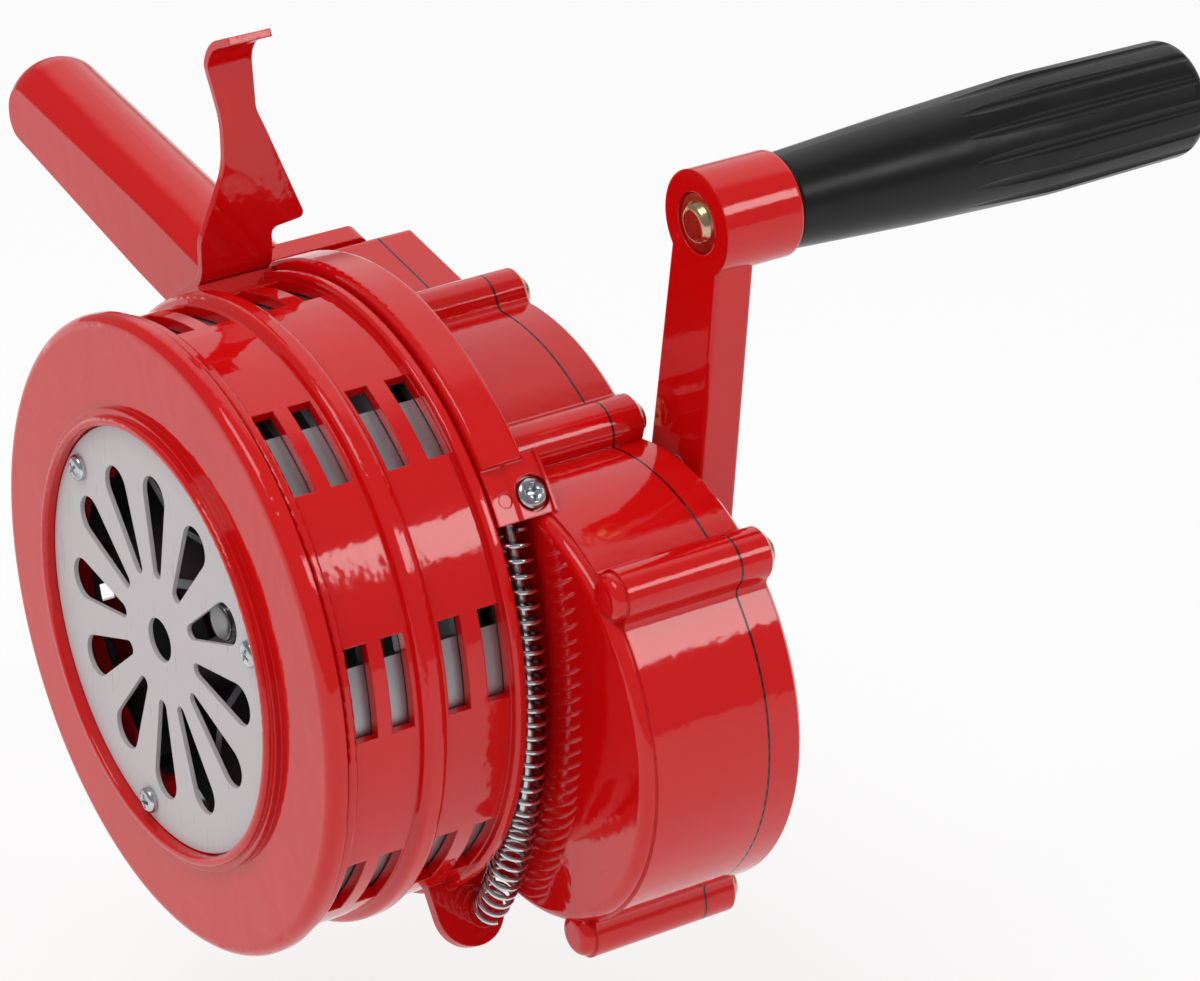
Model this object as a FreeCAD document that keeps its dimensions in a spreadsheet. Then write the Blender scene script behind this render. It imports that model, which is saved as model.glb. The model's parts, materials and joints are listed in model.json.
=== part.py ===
import FreeCAD, Part
import math
import os
from types import SimpleNamespace

import Sketcher

# Hand crank siren, in millimetres.
# Y is the drum axis: the intake faces -Y and the crank is at +Y. +Z is up.
# The origin is on the drum axis, in the plane of the front cover's flat face.
# An angle about the drum axis is counted from +X towards +Z.

os.makedirs("parts", exist_ok=True)
doc = FreeCAD.newDocument("HandCrankSiren")
sheet = doc.addObject("Spreadsheet::Sheet", "Sizes")

SIZES = {
    # front cover with its collar and throat
    "cover_overhang": 1.0,
    "cover_thickness": 4.5,
    "cover_edge_round": 3.2,
    "inlet_radius": 50.0,
    "guard_ledge": 3.6,
    "collar_wall": 4.0,
    "collar_height": 3.4,
    "collar_step": 1.6,
    "throat_wall": 2.4,
    "throat_depth": 7.5,
    "spigot_depth": 4.0,
    "spigot_wall": 3.0,
    # intake guard
    "guard_setback": 0.4,
    "guard_thickness": 1.2,
    "guard_slots": 12,
    "guard_slot_start": 16.6,
    "guard_rim": 6.4,
    "guard_slot_narrow": 1.9,
    "guard_slot_wide": 5.3,
    "guard_hole": 5.6,
    "guard_screws": 3,
    "guard_screw_edge": 5.0,
    "guard_screw_angle": 20.5,
    "guard_boss_radius": 4.6,
    # stator drum
    "stator_radius": 73.5,
    "stator_wall": 2.8,
    "stator_rear": 54.6,
    "stator_floor": 2.6,
    "stator_floor_bore": 22.0,
    "stator_screw_edge": 4.5,
    # shutter ring
    "shutter_front_gap": 0.8,
    "shutter_rear_gap": 0.4,
    "shutter_gap": 0.35,
    "shutter_wall": 2.75,
    "rib_height": 2.4,
    "front_lip_width": 3.0,
    "mid_rib_width": 7.4,
    "rear_bead_width": 3.2,
    "window_rows": 8,
    "window_width": 6.0,
    "window_angle": 17.3,
    "window_row_angle": 56.85,
    "window_edge": 6.5,
    "window_step": 9.9,
    "rear_window_step": 10.8,
    "shutter_travel": 13.3,
    # spring lug on the shutter ring
    "lug_angle": -55.0,
    "lug_thickness": 3.2,
    "lug_radius": 9.1,
    "lug_stand_out": 6.0,
    "lug_setback": 1.2,
    # trigger lever
    "lever_reach": 11.5,
    "lever_sheet": 2.0,
    "lever_foot_angle": 125.0,
    "lever_foot_length": 20.0,
    "lever_bend": 6.0,
    "lever_width": 19.6,
    "lever_edge": 0.6,
    "lever_rise": 55.0,
    "lever_hook": 8.0,
    "lever_flank": 4.0,
    "lever_waist": 7.3,
    "lever_waist_low": 21.2,
    "lever_waist_high": 33.6,
    "lever_neck": 4.2,
    "lever_neck_height": 48.0,
    "lever_notch": 3.2,
    "lever_wing": 9.6,
    "lever_taper": 3.0,
    "lever_taper_height": 35.0,
    "rivet_radius": 1.6,
    "rivet_head": 2.8,
    "rivet_height": 1.3,
    "rivet_depth": 3.4,
    "rivet_step": 10.0,
    # return spring and its guide rod
    "spring_outer": 9.3,
    "spring_wire": 1.2,
    "spring_turns": 31,
    "spring_setback": 5.1,
    "spring_bow": 121.0,
    "spring_top_depth": 6.4,
    "spring_top_angle": 32.35,
    "spring_lug_offset": 1.3,
    "rod_radius": 1.5,
    "rod_root": 5.0,
    "rod_share": 0.66,
    # gear housing
    "housing_radius": 60.5,
    "neck_step": 1.5,
    "band_stand_out": 2.2,
    "band_width": 11.4,
    "band_start": 43.0,
    "band_end": 141.0,
    "block_start": 33.0,
    "block_stand_out": 1.0,
    "block_width": 4.0,
    "block_step": 0.8,
    "lobe_x": 57.0,
    "lobe_z": -11.0,
    "lobe_radius": 55.6,
    "lobe_setback": 10.4,
    "lobe_lip_round": 3.2,
    "lobe_lip_step": 0.7,
    "lobe_flare": 8.6,
    "housing_wall": 4.0,
    "front_wall": 6.0,
    "housing_depth": 44.9,
    "rear_cover_depth": 9.7,
    "cover_bevel": 1.2,
    "rear_wall": 4.2,
    "boss_radius": 6.5,
    "boss_fillet": 3.0,
    "boss_sink": 1.4,
    # pistol grip and its root
    "root_angle": 137.0,
    "root_stand_out": 1.05,
    "grip_rise": 10.5,
    "root_reach": 22.0,
    "root_half_height": 13.0,
    "grip_setback": 11.4,
    "flange_setback": 1.4,
    "flange_seam_gap": 1.5,
    "flange_thickness": 6.0,
    "grip_radius": 15.2,
    "grip_tip_radius": 13.6,
    "grip_length": 138.0,
    "grip_facet": 11.8,
    "grip_screw_edge": 8.0,
    "grip_screw_step": 15.0,
    # gear train
    "crank_x": 46.0,
    "crank_z": -9.5,
    "first_module": 1.0,
    "second_module": 0.8,
    "drive_teeth": 76,
    "idler_pinion_teeth": 13,
    "idler_teeth": 56,
    "rotor_pinion_teeth": 14,
    "first_gear_setback": 29.4,
    "second_gear_setback": 17.4,
    "gear_width": 7.0,
    "idler_shaft_radius": 3.0,
    # rotor
    "rotor_tip_gap": 1.3,
    "rotor_gap": 1.0,
    "rotor_disc": 3.0,
    "rotor_vane": 2.6,
    "rotor_hub": 12.0,
    "rotor_hub_depth": 24.2,
    "rotor_shoe": 3.0,
    "rotor_shoe_angle": 22.0,
    "rotor_vane_start": 14.0,
    "rotor_shaft_radius": 5.0,
    "bearing_radius": 13.0,
    "bearing_width": 8.0,
    "rotor_tail_radius": 3.4,
    "rear_bearing_radius": 9.5,
    "rear_bearing_width": 5.0,
    "nut_width": 13.0,
    "nut_depth": 6.5,
    # crank
    "crank_shaft_radius": 6.0,
    "crank_bush_setback": 11.4,
    "crank_bush_length": 8.0,
    "crank_boss_stand_out": 2.8,
    "bush_wall": 3.0,
    "arm_length": 114.0,
    "arm_lean": 7.2,
    "arm_gap": 1.4,
    "arm_thickness": 11.0,
    "arm_tip_width": 18.4,
    "arm_hub_width": 24.0,
    "arm_hub_radius": 15.0,
    "arm_boss_radius": 13.0,
    "arm_boss_depth": 22.2,
    "pin_radius": 4.0,
    "pin_head": 5.3,
    "pin_washer": 7.1,
    "pin_washer_thickness": 0.9,
    "pin_dome": 1.8,
    "pin_seat": 1.4,
    "crank_grip_gap": 0.5,
    "crank_grip_length": 121.0,
    "crank_grip_small": 11.6,
    "crank_grip_large": 15.3,
    "crank_grip_flutes": 14,
    "flute_radius": 2.3,
    "flute_depth": 1.1,
    "running_fit": 0.05,
    # screw places on the housing, as angles about the lobe that each boss stands on
    "boss_top": 100.9,
    "boss_waist": 49.0,
    "boss_low": -70.3,
    "boss_low_left": -131.0,
    "boss_left": 172.0,
    "boss_lobe_top": 50.0,
    "boss_lobe_low": -65.6,
    "boss_stand_out": 0.6,
    "boss_lobe_stand_out": 2.2,
    # fasteners
    "small_screw_radius": 1.5,
    "small_screw_head": 3.3,
    "small_screw_height": 2.2,
    "small_screw_length": 7.0,
    "screw_radius": 2.0,
    "screw_head": 3.9,
    "screw_height": 2.4,
    "screw_length": 14.0,
    "screw_clearance": 0.2,
    "anchor_edge": 4.6,
    "anchor_angle": 37.0,
    "anchor_recess": 4.5,
    "anchor_depth": 1.5,
    "anchor_pin_step": 7.1,
    "anchor_pin_radius": 1.75,
    "anchor_pin_depth": 2.6,
}

for row, (alias, number) in enumerate(SIZES.items(), start=1):
    sheet.set(f"A{row}", alias)
    sheet.set(f"B{row}", str(number))
    sheet.setAlias(f"B{row}", alias)
doc.recompute()


class Size:
    """A number together with the sheet expression that gives it."""

    def __init__(self, value, text):
        self.value = float(value)
        self.text = text

    def __add__(self, other):
        other = as_size(other)
        return Size(self.value + other.value, f"({self.text} + {other.text})")

    def __sub__(self, other):
        other = as_size(other)
        return Size(self.value - other.value, f"({self.text} - {other.text})")

    def __mul__(self, other):
        other = as_size(other)
        return Size(self.value * other.value, f"({self.text} * {other.text})")

    def __truediv__(self, other):
        other = as_size(other)
        return Size(self.value / other.value, f"({self.text} / {other.text})")

    def __neg__(self):
        return as_size(0) - self

    __radd__ = __add__
    __rmul__ = __mul__

    def __rsub__(self, other):
        return as_size(other) - self


def as_size(number):
    if isinstance(number, Size):
        return number
    return Size(number, f"{float(number):.6f}")


def cosine(angle):
    angle = as_size(angle)
    return Size(math.cos(math.radians(angle.value)), f"cos({angle.text})")


def sine(angle):
    angle = as_size(angle)
    return Size(math.sin(math.radians(angle.value)), f"sin({angle.text})")


def root_of(number):
    return Size(math.sqrt(number.value), f"sqrt({number.text})")


S = SimpleNamespace(**{alias: Size(sheet.get(alias), f"Sizes.{alias}") for alias in SIZES})

# Radii that follow from the drum: the shutter runs on the stator, and the cover and band go over it.
S.shutter_radius = S.stator_radius + S.shutter_gap + S.shutter_wall
S.rib_radius = S.shutter_radius + S.rib_height
S.cover_radius = S.rib_radius + S.cover_overhang
S.band_radius = S.rib_radius + S.band_stand_out
S.block_radius = S.rib_radius + S.block_stand_out
S.lug_centre_radius = S.rib_radius + S.lug_stand_out
S.rotor_radius = S.stator_radius - S.stator_wall - S.rotor_tip_gap
S.lever_seat = S.rib_radius + 0.2
S.lever_plane = S.lever_seat * cosine(S.lever_foot_angle) + S.lever_reach * sine(S.lever_foot_angle)
S.lever_height = S.rib_radius + S.lever_rise

# Radii round the intake.
S.collar_bore = S.inlet_radius + S.guard_ledge
S.collar_radius = S.collar_bore + S.collar_wall
S.guard_slot_end = S.inlet_radius - S.guard_rim
S.guard_screw_place = S.collar_bore - S.guard_screw_edge

# Radii and places on the gear housing.
S.neck_radius = S.housing_radius + S.neck_step
S.stator_screw_place = S.housing_radius - S.stator_screw_edge
S.root_x = (S.housing_radius + S.root_stand_out) * cosine(S.root_angle)
S.root_z = (S.housing_radius + S.root_stand_out) * sine(S.root_angle)

# Places along the drum axis, from the front cover back.
S.shutter_front = S.cover_thickness + S.shutter_front_gap
S.shutter_rear = S.stator_rear - S.shutter_rear_gap
S.window_first = S.shutter_front + S.window_edge
S.window_second = S.window_first + S.window_step
S.window_fourth = S.shutter_rear - S.window_edge + 0.1
S.window_third = S.window_fourth - S.rear_window_step
S.mid_rib_place = (S.window_second + S.window_third) / 2
S.rotor_front = S.cover_thickness + S.spigot_depth + S.rotor_gap
S.rotor_rear = S.stator_rear - S.stator_floor - S.screw_height - S.rotor_gap
S.rotor_hub_front = S.rotor_rear - S.rotor_hub_depth
S.lug_centre_place = S.shutter_rear + S.lug_setback
S.lever_front = S.shutter_rear - S.lever_edge - S.lever_width
S.spring_place = S.stator_rear + S.spring_setback
S.band_rear = S.stator_rear + S.band_width
S.block_rear = S.band_rear + S.block_width
S.anchor_place = S.block_rear - S.anchor_edge
S.anchor_pin_place = S.anchor_place - S.anchor_pin_step
S.lobe_front = S.stator_rear + S.lobe_setback
S.grip_place = S.stator_rear + S.grip_setback
S.seam_place = S.stator_rear + S.housing_depth
S.cover_rear = S.seam_place + S.rear_cover_depth
S.flange_front = S.stator_rear + S.flange_setback
S.flange_rear = S.seam_place - S.flange_seam_gap
S.grip_screw_place = S.flange_rear - S.grip_screw_edge
S.second_gear_place = S.stator_rear + S.second_gear_setback
S.first_gear_place = S.stator_rear + S.first_gear_setback
S.crank_bush_start = S.stator_rear + S.crank_bush_setback
S.crank_bush_end = S.crank_bush_start + S.crank_bush_length
S.arm_front = S.cover_rear + S.crank_boss_stand_out + S.arm_gap


def bind(item, path, size):
    """Tie a property, or a part of one, to the sheet."""
    item.setExpression(path, as_size(size).text)


def make_body(label, x=0, y=0, z=0, turn=None):
    """A body at a place in the assembly, turned about the drum's direction."""
    body = doc.addObject("PartDesign::Body", label)
    body.Label = label
    if turn is not None:
        body.Placement = FreeCAD.Placement(FreeCAD.Vector(), FreeCAD.Rotation(FreeCAD.Vector(0, 1, 0), turn.value))
        bind(body, "Placement.Rotation.Angle", turn)
    for axis, place in zip("xyz", (x, y, z)):
        bind(body, f"Placement.Base.{axis}", place)
    return body


def datum(body, role):
    return next(item for item in body.Origin.OriginFeatures if item.Role == role)


def make_sketch(body, role, lift=0, turn=None):
    """A sketch on an origin plane, lifted along the plane's normal or turned about its first axis."""
    sketch = body.newObject("Sketcher::SketchObject", body.Label + "_sketch")
    sketch.AttachmentSupport = [(datum(body, role), "")]
    sketch.MapMode = "FlatFace"
    if turn is not None:
        rotation = FreeCAD.Rotation(FreeCAD.Vector(1, 0, 0), turn.value)
        sketch.AttachmentOffset = FreeCAD.Placement(FreeCAD.Vector(), rotation)
        bind(sketch, "AttachmentOffset.Rotation.Angle", turn)
    bind(sketch, "AttachmentOffset.Base.z", lift)
    return sketch


def cross_section(body, y=0):
    """A sketch across the drum axis, at a place along it: its axes are X and Z."""
    return make_sketch(body, "XZ_Plane", lift=-as_size(y))


def hold(sketch, geometry, point, x, y):
    """Fix a point of the sketch at a place."""
    for kind, place in (("DistanceX", as_size(x)), ("DistanceY", as_size(y))):
        index = sketch.addConstraint(Sketcher.Constraint(kind, -1, 1, geometry, point, place.value))
        sketch.setExpression(f"Constraints[{index}]", place.text)


def add_outline(sketch, corners):
    """A closed outline of straight lines. A corner is (x, y), or (x, y, radius) where it is rounded."""
    corners = [tuple(as_size(number) for number in corner) for corner in corners]
    count = len(corners)
    places = [FreeCAD.Vector(corner[0].value, corner[1].value, 0) for corner in corners]
    starts, ends, arcs = [], [], []
    for index, corner in enumerate(corners):
        here = places[index]
        if len(corner) == 2:
            starts.append(here)
            ends.append(here)
            arcs.append(None)
            continue
        back = (places[index - 1] - here).normalize()
        ahead = (places[(index + 1) % count] - here).normalize()
        half = back.getAngle(ahead) / 2
        reach = corner[2].value / math.tan(half)
        starts.append(here + ahead * reach)
        ends.append(here + back * reach)
        centre = here + (back + ahead).normalize() * (corner[2].value / math.sin(half))
        arcs.append(centre)
    first = sketch.GeometryCount
    for index in range(count):
        sketch.addGeometry(Part.LineSegment(starts[index], ends[(index + 1) % count]))
    for index, corner in enumerate(corners):
        before = first + (index - 1) % count
        after = first + index
        if arcs[index] is None:
            sketch.addConstraint(Sketcher.Constraint("Coincident", before, 2, after, 1))
            hold(sketch, after, 1, corner[0], corner[1])
            continue
        centre = arcs[index]
        angles = []
        for end in (ends[index], starts[index]):
            angles.append(math.atan2(end.y - centre.y, end.x - centre.x))
        sweep = (angles[1] - angles[0]) % (2 * math.pi)
        forward = sweep < math.pi
        if not forward:
            angles.reverse()
        circle = Part.Circle(centre, FreeCAD.Vector(0, 0, 1), corner[2].value)
        arc = sketch.addGeometry(Part.ArcOfCircle(circle, angles[0], angles[1]))
        entry, leave = (1, 2) if forward else (2, 1)
        sketch.addConstraint(Sketcher.Constraint("Tangent", before, 2, arc, entry))
        sketch.addConstraint(Sketcher.Constraint("Tangent", arc, leave, after, 1))
        index_radius = sketch.addConstraint(Sketcher.Constraint("Radius", arc, corner[2].value))
        sketch.setExpression(f"Constraints[{index_radius}]", corner[2].text)
        apex = sketch.addGeometry(Part.Point(places[index]), True)
        sketch.addConstraint(Sketcher.Constraint("PointOnObject", apex, 1, before))
        sketch.addConstraint(Sketcher.Constraint("PointOnObject", apex, 1, after))
        hold(sketch, apex, 1, corner[0], corner[1])


def add_circle(sketch, x, y, radius):
    x, y, radius = as_size(x), as_size(y), as_size(radius)
    place = FreeCAD.Vector(x.value, y.value, 0)
    circle = sketch.addGeometry(Part.Circle(place, FreeCAD.Vector(0, 0, 1), radius.value))
    hold(sketch, circle, 3, x, y)
    index = sketch.addConstraint(Sketcher.Constraint("Radius", circle, radius.value))
    sketch.setExpression(f"Constraints[{index}]", radius.text)


def add_box(sketch, x0, x1, y0, y1):
    add_outline(sketch, [(x0, y0), (x1, y0), (x1, y1), (x0, y1)])


def revolve(body, sketch, cut=False, angle=360, about="H_Axis"):
    """Turn a profile about the first axis of its sketch."""
    kind = "PartDesign::Groove" if cut else "PartDesign::Revolution"
    feature = body.newObject(kind, body.Label + "_turned")
    feature.Profile = sketch
    feature.ReferenceAxis = (sketch, [about])
    feature.Midplane = angle != 360
    bind(feature, "Angle", angle)
    return feature


def pad(body, sketch, length, reverse=True):
    """Thicken a cross-section towards +Y."""
    feature = body.newObject("PartDesign::Pad", body.Label + "_pad")
    feature.Profile = sketch
    feature.Reversed = reverse
    bind(feature, "Length", length)
    return feature


def pocket(body, sketch, length=None, reverse=False):
    """Cut a cross-section away towards +Y, to a depth or right through."""
    feature = body.newObject("PartDesign::Pocket", body.Label + "_pocket")
    feature.Profile = sketch
    feature.Reversed = reverse
    if length is None:
        feature.Type = "ThroughAll"
        feature.Midplane = True
    else:
        bind(feature, "Length", length)
    return feature


def repeat_round(body, features, count, axis="Y_Axis"):
    """Repeat features at equal steps round an axis of the body."""
    pattern = body.newObject("PartDesign::PolarPattern", body.Label + "_round")
    pattern.Originals = features
    pattern.Axis = (datum(body, axis), [""])
    pattern.Angle = 360
    bind(pattern, "Occurrences", count)
    body.Tip = pattern
    return pattern


def round_edges(body, radius, wanted, kind="Fillet"):
    """Fillet or chamfer those edges of the body's last feature that the test picks."""
    doc.recompute()
    base = body.Tip
    names = [f"Edge{i + 1}" for i, edge in enumerate(base.Shape.Edges) if wanted(edge)]
    if not names:
        raise ValueError(f"{body.Label}: no edge to round")
    feature = body.newObject(f"PartDesign::{kind}", body.Label + "_" + kind.lower())
    feature.Base = (base, names)
    bind(feature, "Radius" if kind == "Fillet" else "Size", radius)
    return feature


# Front cover: a flat ring with a rounded rim, the raised collar round the intake, the throat that
# leads the air to the rotor, and a spigot that centres it in the stator.


def make_front_cover():
    body = make_body("front_cover")
    seat = S.guard_setback * -1 + S.guard_thickness
    spigot = S.stator_radius - S.stator_wall - S.running_fit
    profile = make_sketch(body, "YZ_Plane")
    add_outline(profile, [
        (seat, S.inlet_radius),
        (seat, S.collar_bore),
        (-S.collar_height, S.collar_bore, 1.0),
        (-S.collar_height, S.collar_radius - S.collar_step, 1.0),
        (-S.collar_height / 2, S.collar_radius - S.collar_step),
        (-S.collar_height / 2, S.collar_radius),
        (0, S.collar_radius),
        (0, S.cover_radius, S.cover_edge_round),
        (S.cover_thickness, S.cover_radius),
        (S.cover_thickness, spigot),
        (S.cover_thickness + S.spigot_depth, spigot),
        (S.cover_thickness + S.spigot_depth, spigot - S.spigot_wall),
        (S.cover_thickness, spigot - S.spigot_wall),
        (S.cover_thickness, S.inlet_radius + S.throat_wall),
        (S.throat_depth, S.inlet_radius + S.throat_wall),
        (S.throat_depth, S.inlet_radius),
    ])
    revolve(body, profile)
    boss = cross_section(body, seat)
    angle = S.guard_screw_angle
    add_circle(boss, S.guard_screw_place * cosine(angle), S.guard_screw_place * sine(angle), S.guard_boss_radius)
    boss_pad = pad(body, boss, S.throat_depth - seat)
    repeat_round(body, [boss_pad], S.guard_screws)
    drill = cross_section(body, seat)
    add_circle(drill, S.guard_screw_place * cosine(angle), S.guard_screw_place * sine(angle), S.small_screw_radius)
    hole = pocket(body, drill, S.throat_depth - seat)
    repeat_round(body, [hole], S.guard_screws)
    return body


# Intake guard: a flat disc with a ring of teardrop slots, wide at the rim.


def make_intake_guard():
    body = make_body("intake_guard")
    front = -S.guard_setback
    disc = cross_section(body, front)
    add_circle(disc, 0, 0, S.collar_bore - 0.3)
    add_circle(disc, 0, 0, S.guard_hole)
    pad(body, disc, S.guard_thickness)
    slot = cross_section(body, front)
    add_teardrop(slot, S.guard_slot_start, S.guard_slot_end, S.guard_slot_narrow, S.guard_slot_wide)
    cut = pocket(body, slot, S.guard_thickness)
    repeat_round(body, [cut], S.guard_slots)
    drill = cross_section(body, front)
    angle = S.guard_screw_angle
    add_circle(drill, S.guard_screw_place * cosine(angle), S.guard_screw_place * sine(angle), S.small_screw_radius + S.screw_clearance)
    hole = pocket(body, drill, S.guard_thickness)
    repeat_round(body, [hole], S.guard_screws)
    return body


def add_teardrop(sketch, start, end, narrow, wide):
    """A slot along the sketch's second axis: two arcs of unlike radius and their common tangents."""
    low = start + narrow
    high = end - wide
    lean = math.asin((wide.value - narrow.value) / (high.value - low.value))
    axis = FreeCAD.Vector(0, 0, 1)
    arcs = []
    for place, radius, begin, finish in (
        (low, narrow, math.pi - lean, 2 * math.pi + lean),
        (high, wide, lean * -1, math.pi + lean),
    ):
        circle = Part.Circle(FreeCAD.Vector(0, place.value, 0), axis, radius.value)
        arc = sketch.addGeometry(Part.ArcOfCircle(circle, begin, finish))
        hold(sketch, arc, 3, 0, place)
        index = sketch.addConstraint(Sketcher.Constraint("Radius", arc, radius.value))
        sketch.setExpression(f"Constraints[{index}]", radius.text)
        arcs.append(arc)
    bottom, top = arcs
    points = [sketch.Geometry[arc] for arc in arcs]
    right = sketch.addGeometry(Part.LineSegment(points[0].EndPoint, points[1].StartPoint))
    left = sketch.addGeometry(Part.LineSegment(points[1].EndPoint, points[0].StartPoint))
    sketch.addConstraint(Sketcher.Constraint("Tangent", bottom, 2, right, 1))
    sketch.addConstraint(Sketcher.Constraint("Tangent", right, 2, top, 1))
    sketch.addConstraint(Sketcher.Constraint("Tangent", top, 2, left, 1))
    sketch.addConstraint(Sketcher.Constraint("Tangent", left, 2, bottom, 1))


def at_angle(angle, outward, across=0):
    """A place at an angle about the drum axis: so far out, and so far across on the clockwise side."""
    x = outward * cosine(angle) + across * sine(angle)
    z = outward * sine(angle) - across * cosine(angle)
    return x, z


def place_turned(feature, x, y, z, turn):
    """Place a primitive of a body, turned about the drum's direction."""
    rotation = FreeCAD.Rotation(FreeCAD.Vector(0, 1, 0), as_size(turn).value)
    feature.Placement = FreeCAD.Placement(FreeCAD.Vector(), rotation)
    bind(feature, "Placement.Rotation.Angle", turn)
    for axis, place in zip("xyz", (x, y, z)):
        bind(feature, f"Placement.Base.{axis}", place)


def drill(body, radius, length, x, y, z, turn):
    """A round hole from a place, its axis turned from +Z towards +X."""
    hole = body.newObject("PartDesign::SubtractiveCylinder", body.Label + "_hole")
    bind(hole, "Radius", radius)
    bind(hole, "Height", length)
    place_turned(hole, x, y, z, turn)
    return hole


def drill_inward(body, radius, depth, angle, outside, y):
    """A round hole towards the drum axis, from a radius outside the piece."""
    x, z = at_angle(angle, outside - depth)
    return drill(body, radius, depth, x, y, z, 90 - angle)


# Stator: a fixed aluminium drum whose wall has the air ports, closed at the rear by a floor.


def make_stator():
    body = make_body("stator")
    inner = S.stator_radius - S.stator_wall
    profile = make_sketch(body, "YZ_Plane")
    add_outline(profile, [
        (S.cover_thickness, inner),
        (S.cover_thickness, S.stator_radius),
        (S.stator_rear, S.stator_radius),
        (S.stator_rear, S.stator_floor_bore),
        (S.stator_rear - S.stator_floor, S.stator_floor_bore),
        (S.stator_rear - S.stator_floor, inner),
    ])
    revolve(body, profile)
    cut_windows(body, S.window_row_angle + S.shutter_travel, inner - 2)
    holes = cross_section(body, S.stator_rear - S.stator_floor)
    add_circle(holes, 0, S.stator_screw_place, S.screw_radius + S.screw_clearance)
    hole = pocket(body, holes, S.stator_floor)
    repeat_round(body, [hole], 4)
    return body


def cut_windows(body, angle, inside):
    """Rows of four air ports, the first row centred at this angle."""
    sketch = make_sketch(body, "YZ_Plane", turn=90 - angle)
    for place in (S.window_first, S.window_second, S.window_third, S.window_fourth):
        half = S.window_width / 2
        add_box(sketch, place - half, place + half, inside, S.rib_radius + 2)
    row = revolve(body, sketch, cut=True, angle=S.window_angle)
    repeat_round(body, [row], S.window_rows)


# Shutter ring: the red drum that turns on the stator. Its ribs, its ports, the pad under the
# trigger lever and the lug that the return spring pushes on are one casting.


def make_shutter_ring():
    body = make_body("shutter_ring")
    bore = S.stator_radius + S.shutter_gap
    lip_end = S.shutter_front + S.front_lip_width
    rib_start = S.mid_rib_place - S.mid_rib_width / 2
    rib_end = S.mid_rib_place + S.mid_rib_width / 2
    bead = S.shutter_rear - S.rear_bead_width
    profile = make_sketch(body, "YZ_Plane")
    add_outline(profile, [
        (S.shutter_front, bore),
        (S.shutter_front, S.rib_radius - 0.4, 0.9),
        (lip_end, S.rib_radius - 0.4, 0.9),
        (lip_end, S.shutter_radius),
        (rib_start, S.shutter_radius),
        (rib_start + 1.2, S.rib_radius, 2.2),
        (rib_end - 1.2, S.rib_radius, 2.2),
        (rib_end, S.shutter_radius),
        (bead, S.shutter_radius),
        (bead, S.rib_radius, 1.1),
        (S.shutter_rear, S.rib_radius, 1.1),
        (S.shutter_rear, bore),
    ])
    revolve(body, profile)
    cut_windows(body, S.window_row_angle, bore - 2)
    lug = make_sketch(body, "YZ_Plane", turn=90 - S.lug_angle)
    edge = S.lug_centre_place - S.lug_radius
    add_box(lug, edge, S.lug_centre_place + S.lug_radius, S.shutter_radius - 1, S.lug_centre_radius)
    thicken(body, lug, S.lug_thickness)
    lug_end = make_sketch(body, "YZ_Plane", turn=90 - S.lug_angle)
    add_circle(lug_end, S.lug_centre_place, S.lug_centre_radius, S.lug_radius)
    thicken(body, lug_end, S.lug_thickness)
    foot = body.newObject("PartDesign::AdditiveBox", "lever_pad")
    pad_length = S.lever_foot_length + 2
    pad_height = 4
    bind(foot, "Length", pad_length)
    bind(foot, "Width", S.lever_width + 2 * S.lever_edge)
    bind(foot, "Height", pad_height)
    x, z = at_angle(S.lever_foot_angle, S.lever_seat - pad_height, -pad_length / 2)
    place_turned(foot, x, S.lever_front - S.lever_edge, z, 90 - S.lever_foot_angle)
    for y in rivet_places():
        drill_inward(body, S.rivet_radius, S.rivet_depth, S.lever_foot_angle, S.lever_seat, y)
    return body


def thicken(body, sketch, thickness):
    """Thicken a sketch to both sides of its plane."""
    feature = pad(body, sketch, thickness, reverse=False)
    feature.Midplane = True
    return feature


def rivet_places():
    """Where the two lever rivets stand, along the drum axis."""
    middle = S.lever_front + S.lever_width / 2
    return middle - S.rivet_step / 2, middle + S.rivet_step / 2


# Trigger lever: a pressed sheet. Its foot is riveted to the shutter, its blade stands upright and
# its tip curls over for the thumb.


def sheet_outline(start, legs, bends, sheet):
    """The edge view of a folded sheet: legs are (direction, length), bends the inner radii."""
    near, far = [], []
    x, z = start
    directions = [leg[0] for leg in legs]
    for index, (direction, length) in enumerate(legs):
        if index == 0:
            near.append((x, z))
            far.append((x - sheet * sine(direction), z + sheet * cosine(direction)))
        x = x + length * cosine(direction)
        z = z + length * sine(direction)
        if index + 1 == len(legs):
            near.append((x, z))
            far.append((x - sheet * sine(direction), z + sheet * cosine(direction)))
            break
        turn = directions[index + 1] - direction
        middle = direction + turn / 2
        reach = sheet / cosine(turn / 2)
        inner, outer = bends[index], bends[index] + sheet
        left_turn = turn.value > 0
        near.append((x, z, outer if left_turn else inner))
        far.append((x - reach * sine(middle), z + reach * cosine(middle), inner if left_turn else outer))
    return near + far[::-1]


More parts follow.
